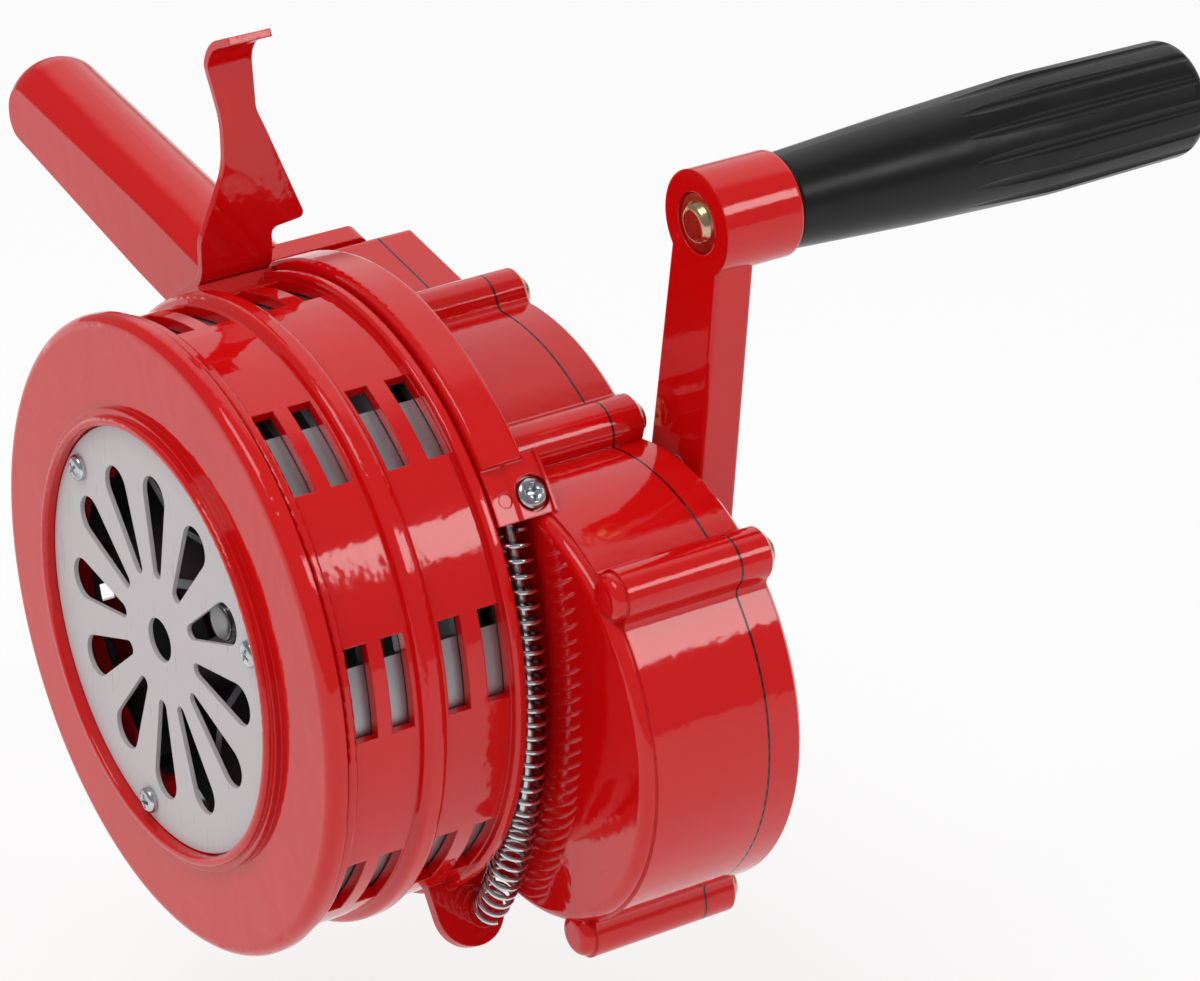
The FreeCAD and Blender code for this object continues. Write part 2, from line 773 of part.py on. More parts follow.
def make_trigger_lever():
    body = make_body("trigger_lever")
    face = S.lever_plane + S.lever_sheet / 2
    foot = S.lever_foot_angle - 90
    corner_z = (S.lever_seat - face * cosine(S.lever_foot_angle)) / sine(S.lever_foot_angle)
    lean_start = S.lever_height - 26
    hook_length = S.lever_hook + 4
    legs = [
        (foot, S.lever_foot_length),
        (as_size(90), lean_start - corner_z),
        (as_size(94), as_size(23)),
        (as_size(24), hook_length),
    ]
    start = (face - S.lever_foot_length * cosine(foot), corner_z - S.lever_foot_length * sine(foot))
    edge = cross_section(body, S.lever_front - 1)
    add_outline(edge, sheet_outline(start, legs, [S.lever_bend, as_size(20), S.lever_hook], S.lever_sheet))
    pad(body, edge, as_size(32))
    front = S.lever_front
    rear = S.lever_front + S.lever_width
    rim = S.rib_radius
    top = S.lever_height + 20
    low = rim / 2
    aside = 20
    trim = make_sketch(body, "YZ_Plane")
    add_outline(trim, [
        (front - aside, low),
        (front, low),
        (front, rim + S.lever_flank, 8),
        (front + S.lever_waist, rim + S.lever_waist_low, 20),
        (front + S.lever_waist, rim + S.lever_waist_high, 30),
        (front + S.lever_neck, rim + S.lever_neck_height, 6),
        (front + S.lever_neck + 1.3, top),
        (front - aside, top),
    ])
    add_outline(trim, [
        (rear + aside, low),
        (rear, low),
        (rear, rim + S.lever_notch, 2),
        (rear + S.lever_wing, rim + S.lever_notch + 1, 1.5),
        (rear - S.lever_taper, rim + S.lever_taper_height, 6),
        (rear - S.lever_taper - 0.8, top),
        (rear + aside, top),
    ])
    pocket(body, trim)
    seat = S.lever_seat + S.lever_sheet
    slack = S.screw_clearance
    for y in rivet_places():
        drill_inward(body, S.rivet_radius, S.lever_sheet + 2 * slack, S.lever_foot_angle, seat + slack, y)
    return body


# Gear housing: the casting behind the drum. It holds the neck that the stator sits on, the guard
# band over the shutter's rear edge, the screw block, two joined round lobes and the grip's root.


def screw_bosses():
    """Each screw boss: the centre and radius of the casing lobe it stands on, its stand-out and angle."""
    first = [
        (as_size(0), as_size(0), S.housing_radius, S.boss_stand_out, angle)
        for angle in (S.boss_top, S.boss_waist, S.boss_low, S.boss_low_left, S.boss_left)
    ]
    second = [
        (S.lobe_x, S.lobe_z, S.lobe_radius, S.boss_lobe_stand_out, angle)
        for angle in (S.boss_lobe_top, S.boss_lobe_low)
    ]
    return first, second


def boss_centre(boss):
    x, z, radius, stand_out, angle = boss
    across_x, across_z = at_angle(angle, radius + stand_out)
    return x + across_x, z + across_z


def boss_places():
    """The centres of the cover screws."""
    first, second = screw_bosses()
    return [boss_centre(boss) for boss in first + second]


def add_boss(body, boss, start, end):
    """A screw boss: a half-round post whose flanks run into the casing with a hollow curve."""
    x, z, radius, stand_out, angle = boss
    half = S.boss_radius
    root = root_of(radius * radius - half * half)
    top = radius + stand_out + half
    foot = half + 2 * S.boss_fillet
    local = [
        (-foot, root - foot),
        (-foot, root - S.boss_sink),
        (-half, root, S.boss_fillet),
        (-half, top, half * 0.98),
        (half, top, half * 0.98),
        (half, root, S.boss_fillet),
        (foot, root - S.boss_sink),
        (foot, root - foot),
    ]
    corners = []
    for corner in local:
        along_x, along_z = at_angle(angle, corner[1], as_size(corner[0]))
        corners.append((x + along_x, z + along_z) + tuple(corner[2:]))
    sketch = cross_section(body, start)
    add_outline(sketch, corners)
    return pad(body, sketch, end - start)


def along_grip(out, up):
    """A place on the grip's axis, measured from the root's centre outwards and upwards."""
    x = S.root_x - out * cosine(S.grip_rise) + up * sine(S.grip_rise)
    z = S.root_z + out * sine(S.grip_rise) + up * cosine(S.grip_rise)
    return x, z


def root_outline():
    half = S.root_half_height
    corners = [(-14, -half), (S.root_reach, -half, 3), (S.root_reach, half, 3), (-14, half)]
    return [along_grip(as_size(corner[0]), corner[1]) + tuple(corner[2:]) for corner in corners]


def add_round_pad(body, x, z, radius, start, end):
    sketch = cross_section(body, start)
    add_circle(sketch, x, z, radius)
    return pad(body, sketch, end - start)


def cut_round(body, x, z, radius, start, end):
    sketch = cross_section(body, start)
    add_circle(sketch, x, z, radius)
    return pocket(body, sketch, end - start)


def add_sector(body, corners, start, end):
    """Turn a profile about the drum axis from one angle to another."""
    sketch = make_sketch(body, "YZ_Plane", turn=90 - (start + end) / 2)
    add_outline(sketch, corners)
    return revolve(body, sketch, angle=end - start)


def idler_place():
    """The idler's centre, at the gear distances from the rotor's axis and the crank's."""
    to_rotor = S.second_module * (S.idler_teeth + S.rotor_pinion_teeth) / 2
    to_crank = S.first_module * (S.drive_teeth + S.idler_pinion_teeth) / 2
    span = root_of(S.crank_x * S.crank_x + S.crank_z * S.crank_z)
    along = (to_rotor * to_rotor - to_crank * to_crank + span * span) / (2 * span)
    aside = root_of(to_rotor * to_rotor - along * along)
    x = (along * S.crank_x - aside * S.crank_z) / span
    z = (along * S.crank_z + aside * S.crank_x) / span
    return x, z


def lobe_side_start():
    """Where the second lobe's side begins, behind its rounded front lip."""
    return S.lobe_front + S.lobe_lip_round


def add_flare(body):
    """The front of the second lobe: a flare that rises from the neck to the lobe's flat face."""
    seat = S.stator_rear
    inside = S.neck_radius - 4
    outside = S.lobe_x + S.lobe_radius + S.boss_radius
    flare = make_sketch(body, "YZ_Plane")
    add_outline(flare, [
        (seat, inside),
        (seat, S.neck_radius),
        (S.lobe_front, S.neck_radius, S.lobe_flare),
        (S.lobe_front, outside),
        (lobe_side_start(), outside),
        (lobe_side_start(), inside),
    ])
    revolve(body, flare)
    around = cross_section(body, seat - 1)
    add_circle(around, S.lobe_x, S.lobe_z, S.lobe_radius - S.lobe_lip_step - S.lobe_lip_round)
    add_circle(around, S.lobe_x, S.lobe_z, 2 * outside)
    pocket(body, around, lobe_side_start() + 2 - seat)


def add_turned_post(body, x, z, corners):
    """Turn a profile about an axis along Y: its corners are a place along Y and a radius."""
    profile = make_sketch(body, "YZ_Plane", lift=x)
    places = [as_size(corners[0][0]), as_size(corners[-1][0])]
    ends = [FreeCAD.Vector(place.value, as_size(z).value, 0) for place in places]
    axis = profile.addGeometry(Part.LineSegment(*ends), True)
    hold(profile, axis, 1, places[0], z)
    hold(profile, axis, 2, places[1], z)
    add_outline(profile, [(corner[0], z + corner[1]) + tuple(corner[2:]) for corner in corners])
    revolve(body, profile, about="Axis0")


def add_lipped_post(body, x, z, radius):
    """A round post of the second lobe, with a rounded front lip and a small step behind it."""
    lip = radius - S.lobe_lip_step
    add_turned_post(body, x, z, [
        (S.lobe_front, 0),
        (S.lobe_front, lip, S.lobe_lip_round * 0.9),
        (lobe_side_start(), lip),
        (lobe_side_start(), radius),
        (S.seam_place, radius),
        (S.seam_place, 0),
    ])


def add_cover_post(body, x, z, radius):
    """A round part of the rear cover, with its rear edge bevelled."""
    add_turned_post(body, x, z, [
        (S.seam_place, 0),
        (S.seam_place, radius),
        (S.cover_rear - S.cover_bevel, radius),
        (S.cover_rear, radius - S.cover_bevel),
        (S.cover_rear, 0),
    ])


def make_gear_housing():
    body = make_body("gear_housing")
    seat = S.stator_rear
    add_flare(body)
    add_round_pad(body, 0, 0, S.neck_radius, seat, S.band_rear)
    add_round_pad(body, 0, 0, S.housing_radius, seat, S.seam_place)
    add_lipped_post(body, S.lobe_x, S.lobe_z, S.lobe_radius)
    first, second = screw_bosses()
    for boss in first:
        add_boss(body, boss, S.band_rear - 0.6, S.seam_place)
    for boss in second:
        add_boss(body, boss, lobe_side_start(), S.seam_place)
        add_lipped_post(body, *boss_centre(boss), S.boss_radius)
    root = cross_section(body, seat)
    add_outline(root, root_outline())
    pad(body, root, S.seam_place - seat)
    add_sector(body, [
        (seat, S.neck_radius - 4),
        (seat, S.band_radius, 1.6),
        (S.band_rear, S.band_radius, 1.6),
        (S.band_rear, S.neck_radius - 4),
    ], S.band_start, S.band_end)
    ledge = S.anchor_place - S.anchor_recess
    add_sector(body, [
        (seat, S.neck_radius - 4),
        (seat, S.block_radius - S.block_step),
        (ledge - S.block_step, S.block_radius - S.block_step),
        (ledge, S.block_radius),
        (S.block_rear - S.block_step, S.block_radius),
        (S.block_rear - S.block_step, S.block_radius + S.block_step),
        (S.block_rear, S.block_radius + S.block_step),
        (S.block_rear, S.neck_radius - 4),
    ], S.block_start, S.band_start + 1)
    inner = seat + S.front_wall
    cut_round(body, 0, 0, S.housing_radius - S.housing_wall, inner, S.seam_place)
    lobe_inner = S.lobe_front + S.housing_wall + 0.5
    cut_round(body, S.lobe_x, S.lobe_z, S.lobe_radius - S.housing_wall, lobe_inner, S.seam_place)
    idler_x, idler_z = idler_place()
    bearing_end = seat + S.bearing_width + 2
    add_round_pad(body, 0, 0, S.bearing_radius + 4, inner - 1, bearing_end)
    cut_round(body, 0, 0, S.bearing_radius, seat, seat + S.bearing_width)
    cut_round(body, 0, 0, S.rotor_shaft_radius + 2, seat + S.bearing_width, bearing_end)
    bush = S.crank_shaft_radius + S.bush_wall
    add_round_pad(body, S.crank_x, S.crank_z, bush + 4, inner - 1, S.crank_bush_end)
    cut_round(body, S.crank_x, S.crank_z, bush, S.crank_bush_start, S.crank_bush_end)
    add_round_pad(body, idler_x, idler_z, S.idler_shaft_radius + 3.5, inner - 1, S.second_gear_place - 0.6)
    cut_round(body, idler_x, idler_z, S.idler_shaft_radius, inner - 1, S.second_gear_place - 0.6)
    for x, z in boss_places():
        cut_round(body, x, z, S.screw_radius, S.seam_place - S.screw_length, S.seam_place)
    holes = cross_section(body, seat)
    add_circle(holes, 0, S.stator_screw_place, S.screw_radius)
    hole = pocket(body, holes, S.front_wall)
    repeat_round(body, [hole], 4)
    drill_inward(body, S.anchor_recess, S.anchor_depth, S.anchor_angle, S.block_radius, S.anchor_place)
    drill_inward(body, S.screw_radius, S.screw_length, S.anchor_angle, S.block_radius, S.anchor_place)
    pin_seat = S.block_radius - S.block_step
    drill_inward(body, S.anchor_pin_radius, S.anchor_pin_depth, S.anchor_angle, pin_seat, S.anchor_pin_place)
    start, way = rod_seat()
    turn = as_size(math.degrees(math.atan2(way.x, way.z)))
    drill(body, S.rod_radius, S.rod_root, as_size(start.x), S.spring_place, as_size(start.z), turn)
    for up in (-S.grip_screw_step / 2, S.grip_screw_step / 2):
        x, z = along_grip(S.root_reach - S.screw_length, up)
        drill(body, S.screw_radius, S.screw_length, x, S.grip_screw_place, z, S.grip_rise - 90)
    return body


# Rear cover: the shallow lid that closes the housing and carries the rear bearings.


def make_rear_cover():
    body = make_body("rear_cover")
    rear = S.cover_rear
    inner = rear - S.rear_wall
    add_cover_post(body, 0, 0, S.housing_radius)
    add_cover_post(body, S.lobe_x, S.lobe_z, S.lobe_radius)
    first, second = screw_bosses()
    for boss in first + second:
        add_boss(body, boss, S.seam_place, rear - S.cover_bevel)
        add_cover_post(body, *boss_centre(boss), S.boss_radius)
    root = cross_section(body, S.seam_place)
    add_outline(root, root_outline())
    pad(body, root, S.rear_cover_depth)
    cut_round(body, 0, 0, S.housing_radius - S.housing_wall, S.seam_place, inner)
    cut_round(body, S.lobe_x, S.lobe_z, S.lobe_radius - S.housing_wall, S.seam_place, inner)
    idler_x, idler_z = idler_place()
    add_round_pad(body, 0, 0, S.rear_bearing_radius + 3.5, S.seam_place, inner + 1)
    cut_round(body, 0, 0, S.rear_bearing_radius, S.seam_place, S.seam_place + S.rear_bearing_width)
    bush = S.crank_shaft_radius + S.bush_wall
    add_round_pad(body, S.crank_x, S.crank_z, bush + 4.5, S.seam_place, rear + S.crank_boss_stand_out)
    cut_round(body, S.crank_x, S.crank_z, bush, S.seam_place, rear + S.crank_boss_stand_out)
    add_round_pad(body, idler_x, idler_z, S.idler_shaft_radius + 3.5, S.seam_place, inner + 1)
    cut_round(body, idler_x, idler_z, S.idler_shaft_radius, S.seam_place, inner + 1)
    for x, z in boss_places():
        cut_round(body, x, z, S.screw_radius + S.screw_clearance, S.seam_place, rear)
    return body


# Pistol grip: a round tapering bar on a bolted flange, with one flat side and a rounded tip.


def make_pistol_grip():
    x, z = along_grip(as_size(0), as_size(0))
    body = make_body("pistol_grip", x, S.grip_place, z, turn=S.grip_rise - 90)
    flange = body.newObject("PartDesign::AdditiveBox", "grip_flange")
    bind(flange, "Length", 2 * S.root_half_height)
    bind(flange, "Width", S.flange_rear - S.flange_front)
    bind(flange, "Height", S.flange_thickness)
    place_turned(flange, -S.root_half_height, S.flange_front - S.grip_place, S.root_reach, 0)
    round_edges(body, 3, lambda edge: edge.Length < S.flange_thickness.value + 0.1)
    shank = make_sketch(body, "XZ_Plane")
    start = S.root_reach + S.flange_thickness - 1
    add_outline(shank, [
        (0, start),
        (S.grip_radius, start),
        (S.grip_radius, start + 34, 60),
        (S.grip_tip_radius, S.grip_length, 10.5),
        (0, S.grip_length),
    ])
    revolve(body, shank, about="V_Axis")
    facet = make_sketch(body, "XZ_Plane", lift=S.grip_facet)
    add_box(facet, -S.grip_radius - 2, S.grip_radius + 2, start + 1, S.grip_length + 5)
    pocket(body, facet, S.grip_radius, reverse=True)
    for up in (-S.grip_screw_step / 2, S.grip_screw_step / 2):
        place = S.grip_screw_place - S.grip_place
        drill(body, S.screw_radius + S.screw_clearance, S.flange_thickness, up, place, S.root_reach, 0)
    return body


# Rotor: the impeller. A rear disc with a hub and eight straight vanes. Each vane ends in a shoe,
# a piece of drum wall that is wider than an air port, so the rotor chops the air at every port.


def make_rotor():
    body = make_body("rotor")
    profile = make_sketch(body, "YZ_Plane")
    bore = S.rotor_shaft_radius
    disc_front = S.rotor_rear - S.rotor_disc
    add_outline(profile, [
        (S.rotor_hub_front, bore),
        (S.rotor_hub_front, S.rotor_hub),
        (disc_front - 2, S.rotor_hub + 3),
        (disc_front, S.rotor_radius),
        (S.rotor_rear, S.rotor_radius),
        (S.rotor_rear, bore),
    ])
    revolve(body, profile)
    vane = make_sketch(body, "YZ_Plane")
    lean = 6
    add_outline(vane, [
        (S.rotor_hub_front + 1, S.rotor_hub - 2),
        (S.rotor_hub_front + 1, S.rotor_vane_start),
        (S.rotor_front + lean, S.rotor_vane_start + 2 * lean),
        (S.rotor_front, S.rotor_radius - S.rotor_shoe / 2),
        (disc_front + 0.5, S.rotor_radius - S.rotor_shoe / 2),
        (disc_front + 0.5, S.rotor_hub - 2),
    ])
    vane_pad = pad(body, vane, S.rotor_vane)
    vane_pad.Midplane = True
    shoe = make_sketch(body, "YZ_Plane")
    add_box(shoe, S.rotor_front, disc_front + 0.5, S.rotor_radius - S.rotor_shoe, S.rotor_radius)
    shoe_turned = revolve(body, shoe, angle=S.rotor_shoe_angle)
    repeat_round(body, [vane_pad, shoe_turned], S.window_rows)
    return body


def make_rotor_shaft():
    body = make_body("rotor_shaft")
    profile = make_sketch(body, "YZ_Plane")
    shoulder = S.stator_rear + S.bearing_width + 2.4
    add_outline(profile, [
        (S.rotor_hub_front - S.nut_depth - 2, 0),
        (S.rotor_hub_front - S.nut_depth - 2, S.rotor_shaft_radius, 0.8),
        (shoulder, S.rotor_shaft_radius),
        (shoulder, S.rotor_tail_radius),
        (S.seam_place + S.rear_bearing_width, S.rotor_tail_radius),
        (S.seam_place + S.rear_bearing_width, 0),
    ])
    revolve(body, profile)
    return body


def make_nut(label, x, z, place, width, depth, bore):
    """A hexagon nut on a shaft along Y, with its corners turned off."""
    body = make_body(label, x, place, z)
    hexagon = cross_section(body)
    across = width / 2 / cosine(30)
    corners = [(across * cosine(60 * step), across * sine(60 * step)) for step in range(6)]
    add_outline(hexagon, corners)
    add_circle(hexagon, 0, 0, bore)
    pad(body, hexagon, depth)
    turned = make_sketch(body, "YZ_Plane")
    slope = across * 0.12
    add_outline(turned, [(0, across * 0.9), (0, across + 1), (slope, across + 1)])
    revolve(body, turned, cut=True)
    return body


def make_ring(label, x, z, inner, outer, start, end):
    """A plain ring, such as a bush, a bearing or a washer."""
    body = make_body(label, x, start, z)
    sketch = cross_section(body)
    add_circle(sketch, 0, 0, outer)
    add_circle(sketch, 0, 0, inner)
    pad(body, sketch, end - start)
    return body


def make_ball_bearing(label, inner, outer, start, width):
    """A closed ball bearing: two races with the shield set back between them."""
    body = make_body(label, 0, start, 0)
    profile = make_sketch(body, "YZ_Plane")
    race = (outer - inner) * 0.22
    set_back = 0.5
    add_outline(profile, [
        (0, inner),
        (0, inner + race),
        (set_back, inner + race),
        (set_back, outer - race),
        (0, outer - race),
        (0, outer),
        (width, outer),
        (width, outer - race),
        (width - set_back, outer - race),
        (width - set_back, inner + race),
        (width, inner + race),
        (width, inner),
    ])
    revolve(body, profile)
    return body


# Gears: straight teeth with involute flanks at 25 degrees, thinned a little for backlash.

PRESSURE_ANGLE = math.radians(25)
BACKLASH = 0.12


def gear_face(teeth, module, bore, phase):
    """The flat face of a gear about the origin, in X and Z, with one tooth centred on the phase angle."""
    pitch = module * teeth / 2
    base = pitch * math.cos(PRESSURE_ANGLE)
    tip = pitch + 0.95 * module
    foot = pitch - 1.2 * module
    half_tooth = (math.pi * module / 2 - BACKLASH) / 2 / pitch
    involute = math.tan(PRESSURE_ANGLE) - PRESSURE_ANGLE

    def half_angle(radius):
        pressure = math.acos(min(1.0, base / radius))
        return half_tooth + involute - (math.tan(pressure) - pressure)

    radii = [foot, (pitch + base) / 2, tip] if foot < base else [foot, tip]
    points = []
    for tooth in range(teeth):
        middle = phase + 2 * math.pi * tooth / teeth
        flank = [(radius, half_angle(max(radius, base))) for radius in radii]
        for radius, half in flank:
            points.append((radius, middle - half))
        for radius, half in reversed(flank):
            points.append((radius, middle + half))
    corners = [FreeCAD.Vector(r * math.cos(a), 0, r * math.sin(a)) for r, a in points]
    outline = Part.makePolygon(corners + corners[:1])
    hole = Part.Wire(Part.makeCircle(bore, FreeCAD.Vector(), FreeCAD.Vector(0, 1, 0)))
    return Part.Face([outline, hole])


def gear_solid(teeth, module, bore, phase, start):
    face = gear_face(teeth, module, bore, phase)
    face.translate(FreeCAD.Vector(0, start, 0))
    return face.extrude(FreeCAD.Vector(0, S.gear_width.value, 0))


def hollow_hub(radius, bore, start, end):
    along = FreeCAD.Vector(0, 1, 0)
    outer = Part.makeCylinder(radius, end - start, FreeCAD.Vector(0, start, 0), along)
    return outer.cut(Part.makeCylinder(bore, end - start, FreeCAD.Vector(0, start, 0), along))


def add_shape(label, shape, x=0, y=0, z=0):
    """A sub-part whose form is worked out above, put at its place."""
    feature = doc.addObject("Part::Feature", label)
    feature.Label = label
    feature.Shape = shape
    for axis, place in zip("xyz", (x, y, z)):
        bind(feature, f"Placement.Base.{axis}", place)
    return feature


def mesh_phase(toward, teeth, tooth):
    """The turn that puts a tooth, or the gap half a pitch from it, on the line of centres."""
    return toward + (0 if tooth else math.pi / teeth)


def make_gears():
    """The two-stage train: drive gear and idler pinion, idler gear and rotor pinion."""
    idler_x, idler_z = idler_place()
    crank_x, crank_z = S.crank_x, S.crank_z
    drive_teeth = int(S.drive_teeth.value)
    idler_teeth = int(S.idler_teeth.value)
    idler_pinion_teeth = int(S.idler_pinion_teeth.value)
    rotor_pinion_teeth = int(S.rotor_pinion_teeth.value)
    first, second = S.first_gear_place.value, S.second_gear_place.value
    width = S.gear_width.value
    to_idler = math.atan2(idler_z.value - crank_z.value, idler_x.value - crank_x.value)
    to_rotor = math.atan2(-idler_z.value, -idler_x.value)

    bore = S.crank_shaft_radius.value
    drive = gear_solid(drive_teeth, S.first_module.value, bore, mesh_phase(to_idler, drive_teeth, True), first)
    drive = drive.fuse(hollow_hub(bore + 6, bore, first - 3, first + width + 3))
    add_shape("drive_gear", drive.removeSplitter(), crank_x, 0, crank_z)

    bore = S.idler_shaft_radius.value + S.running_fit.value
    pinion_phase = mesh_phase(to_idler + math.pi, idler_pinion_teeth, False)
    pinion = gear_solid(idler_pinion_teeth, S.first_module.value, bore, pinion_phase, first)
    gear_phase = mesh_phase(to_rotor, idler_teeth, True)
    gear = gear_solid(idler_teeth, S.second_module.value, bore, gear_phase, second)
    hub = hollow_hub(bore + 2.2, bore, second, first + 0.5)
    cluster = gear.fuse(hub).fuse(pinion)
    add_shape("idler_gear", cluster.removeSplitter(), idler_x, 0, idler_z)

    rotor_phase = mesh_phase(to_rotor + math.pi, rotor_pinion_teeth, False)
    rotor_pinion = gear_solid(rotor_pinion_teeth, S.second_module.value, S.rotor_tail_radius.value, rotor_phase, second)
    add_shape("rotor_pinion", rotor_pinion)


def make_pin(label, x, z, radius, start, end):
    """A plain round pin or shaft along Y with chamfered ends."""
    body = make_body(label, x, start, z)
    sketch = cross_section(body)
    add_circle(sketch, 0, 0, radius)
    pad(body, sketch, end - start)
    round_edges(body, 0.5, lambda edge: isinstance(edge.Curve, Part.Circle), kind="Chamfer")
    return body


# Crank: a cast arm with a boss at its tip, clamped on the crank shaft, and a grip that spins on
# a riveted pin.


def crank_tip():
    x = S.crank_x + S.arm_length * sine(S.arm_lean)
    z = S.crank_z + S.arm_length * cosine(S.arm_lean)
    return x, z


def make_crank_arm():
    body = make_body("crank_arm", S.crank_x, S.arm_front, S.crank_z, turn=S.arm_lean)
    bar = cross_section(body)
    add_outline(bar, [
        (-S.arm_hub_width / 2, 0),
        (S.arm_hub_width / 2, 0),
        (S.arm_tip_width / 2, S.arm_length),
        (-S.arm_tip_width / 2, S.arm_length),
    ])
    pad(body, bar, S.arm_thickness)
    round_edges(body, 1.2, lambda edge: edge.Length > S.arm_length.value - 1)
    hub = cross_section(body, 0)
    add_circle(hub, 0, 0, S.arm_hub_radius)
    pad(body, hub, S.arm_thickness + 1.5)
    boss = cross_section(body)
    add_circle(boss, 0, S.arm_length, S.arm_boss_radius)
    pad(body, boss, S.arm_boss_depth)
    rear_faces = (S.arm_boss_depth.value, S.arm_thickness.value + 1.5)
    round_edges(body, 1.2, lambda edge: outer_ring(edge, rear_faces))
    bore = cross_section(body)
    add_circle(bore, 0, 0, S.crank_shaft_radius)
    pocket(body, bore)
    pin = cross_section(body)
    add_circle(pin, 0, S.arm_length, S.pin_radius)
    pocket(body, pin)
    seat = cross_section(body)
    add_circle(seat, 0, S.arm_length, S.pin_washer + 0.5)
    pocket(body, seat, S.pin_seat)
    mark = cross_section(body)
    add_circle(mark, 1.5, S.arm_length * 0.42, 2.6)
    pocket(body, mark, as_size(0.3))
    return body


def outer_ring(edge, places):
    """The round outer edges of the arm's hub and boss, at these places along Y."""
    curve = edge.Curve
    if not isinstance(curve, Part.Circle):
        return False
    wide = curve.Radius > S.arm_boss_radius.value - 0.1
    return wide and any(abs(curve.Center.y - place) < 0.01 for place in places)


def make_crank_shaft():
    body = make_body("crank_shaft", S.crank_x, S.crank_bush_start + 0.5, S.crank_z)
    end = S.arm_front + S.arm_thickness + S.nut_depth + 4 - S.crank_bush_start
    sketch = cross_section(body)
    add_circle(sketch, 0, 0, S.crank_shaft_radius)
    pad(body, sketch, end)
    round_edges(body, 0.8, lambda edge: isinstance(edge.Curve, Part.Circle), kind="Chamfer")
    return body


def make_handle_pin():
    x, z = crank_tip()
    start = S.arm_front + S.pin_seat - S.pin_washer_thickness
    body = make_body("handle_pin", x, start, z)
    profile = make_sketch(body, "YZ_Plane")
    end = S.arm_boss_depth + S.crank_grip_length * 0.82
    add_outline(profile, [
        (-S.pin_dome, 0),
        (-S.pin_dome, S.pin_head * 0.8, 1.6),
        (0, S.pin_head),
        (0, S.pin_radius),
        (end, S.pin_radius, 0.6),
        (end, 0),
    ])
    revolve(body, profile)
    return body


def make_crank_grip():
    x, z = crank_tip()
    body = make_body("crank_grip", x, S.arm_front + S.arm_boss_depth + S.crank_grip_gap, z)
    profile = make_sketch(body, "YZ_Plane")
    bore = S.pin_radius + S.running_fit
    small, large, length = S.crank_grip_small, S.crank_grip_large, S.crank_grip_length
    add_outline(profile, [
        (0, bore),
        (0, small, 0.8),
        (length * 0.3, small + 2.1, 90),
        (length * 0.62, large, 90),
        (length, large - 0.6, 5),
        (length, 0),
        (length * 0.84, 0),
        (length * 0.84, bore),
    ])
    revolve(body, profile)
    flute = cross_section(body, length * 0.25)
    add_circle(flute, 0, large - S.flute_depth + S.flute_radius, S.flute_radius)
    cut = pocket(body, flute, length)
    repeat_round(body, [cut], S.crank_grip_flutes)
    return body


# Fasteners: pan-head screws with a cross recess, dome-head rivets, and the groups they come in.


def screw_shape(radius, head, height, length):
    """A pan-head screw along +Y, its head standing on the plane Y = 0 towards -Y."""
    radius, head, height, length = radius.value, head.value, height.value, length.value
    profile = [
        (0, -height),
        (head * 0.68, -height),
        (head, -height * 0.4),
        (head, 0),
        (radius, 0),
        (radius, length),
        (0, length),
    ]
    corners = [FreeCAD.Vector(r, y, 0) for r, y in profile]
    face = Part.Face(Part.makePolygon(corners + corners[:1]))
    return face.revolve(FreeCAD.Vector(), FreeCAD.Vector(0, 1, 0), 360)


def small_screw():
    return screw_shape(S.small_screw_radius, S.small_screw_head, S.small_screw_height, S.small_screw_length)


def large_screw(length=None):
    return screw_shape(S.screw_radius, S.screw_head, S.screw_height, length or S.screw_length)


def placed(shape, point, direction):
    """A copy of a shape with its +Y turned to a direction and its origin at a point."""
    copy = shape.copy()
    rotation = FreeCAD.Rotation(FreeCAD.Vector(0, 1, 0), FreeCAD.Vector(*direction))
    copy.Placement = FreeCAD.Placement(FreeCAD.Vector(*point), rotation)
    return copy


def add_group(label, shapes):
    """Like fasteners kept together in one node, each a solid of its own."""
    return add_shape(label, Part.makeCompound(shapes))


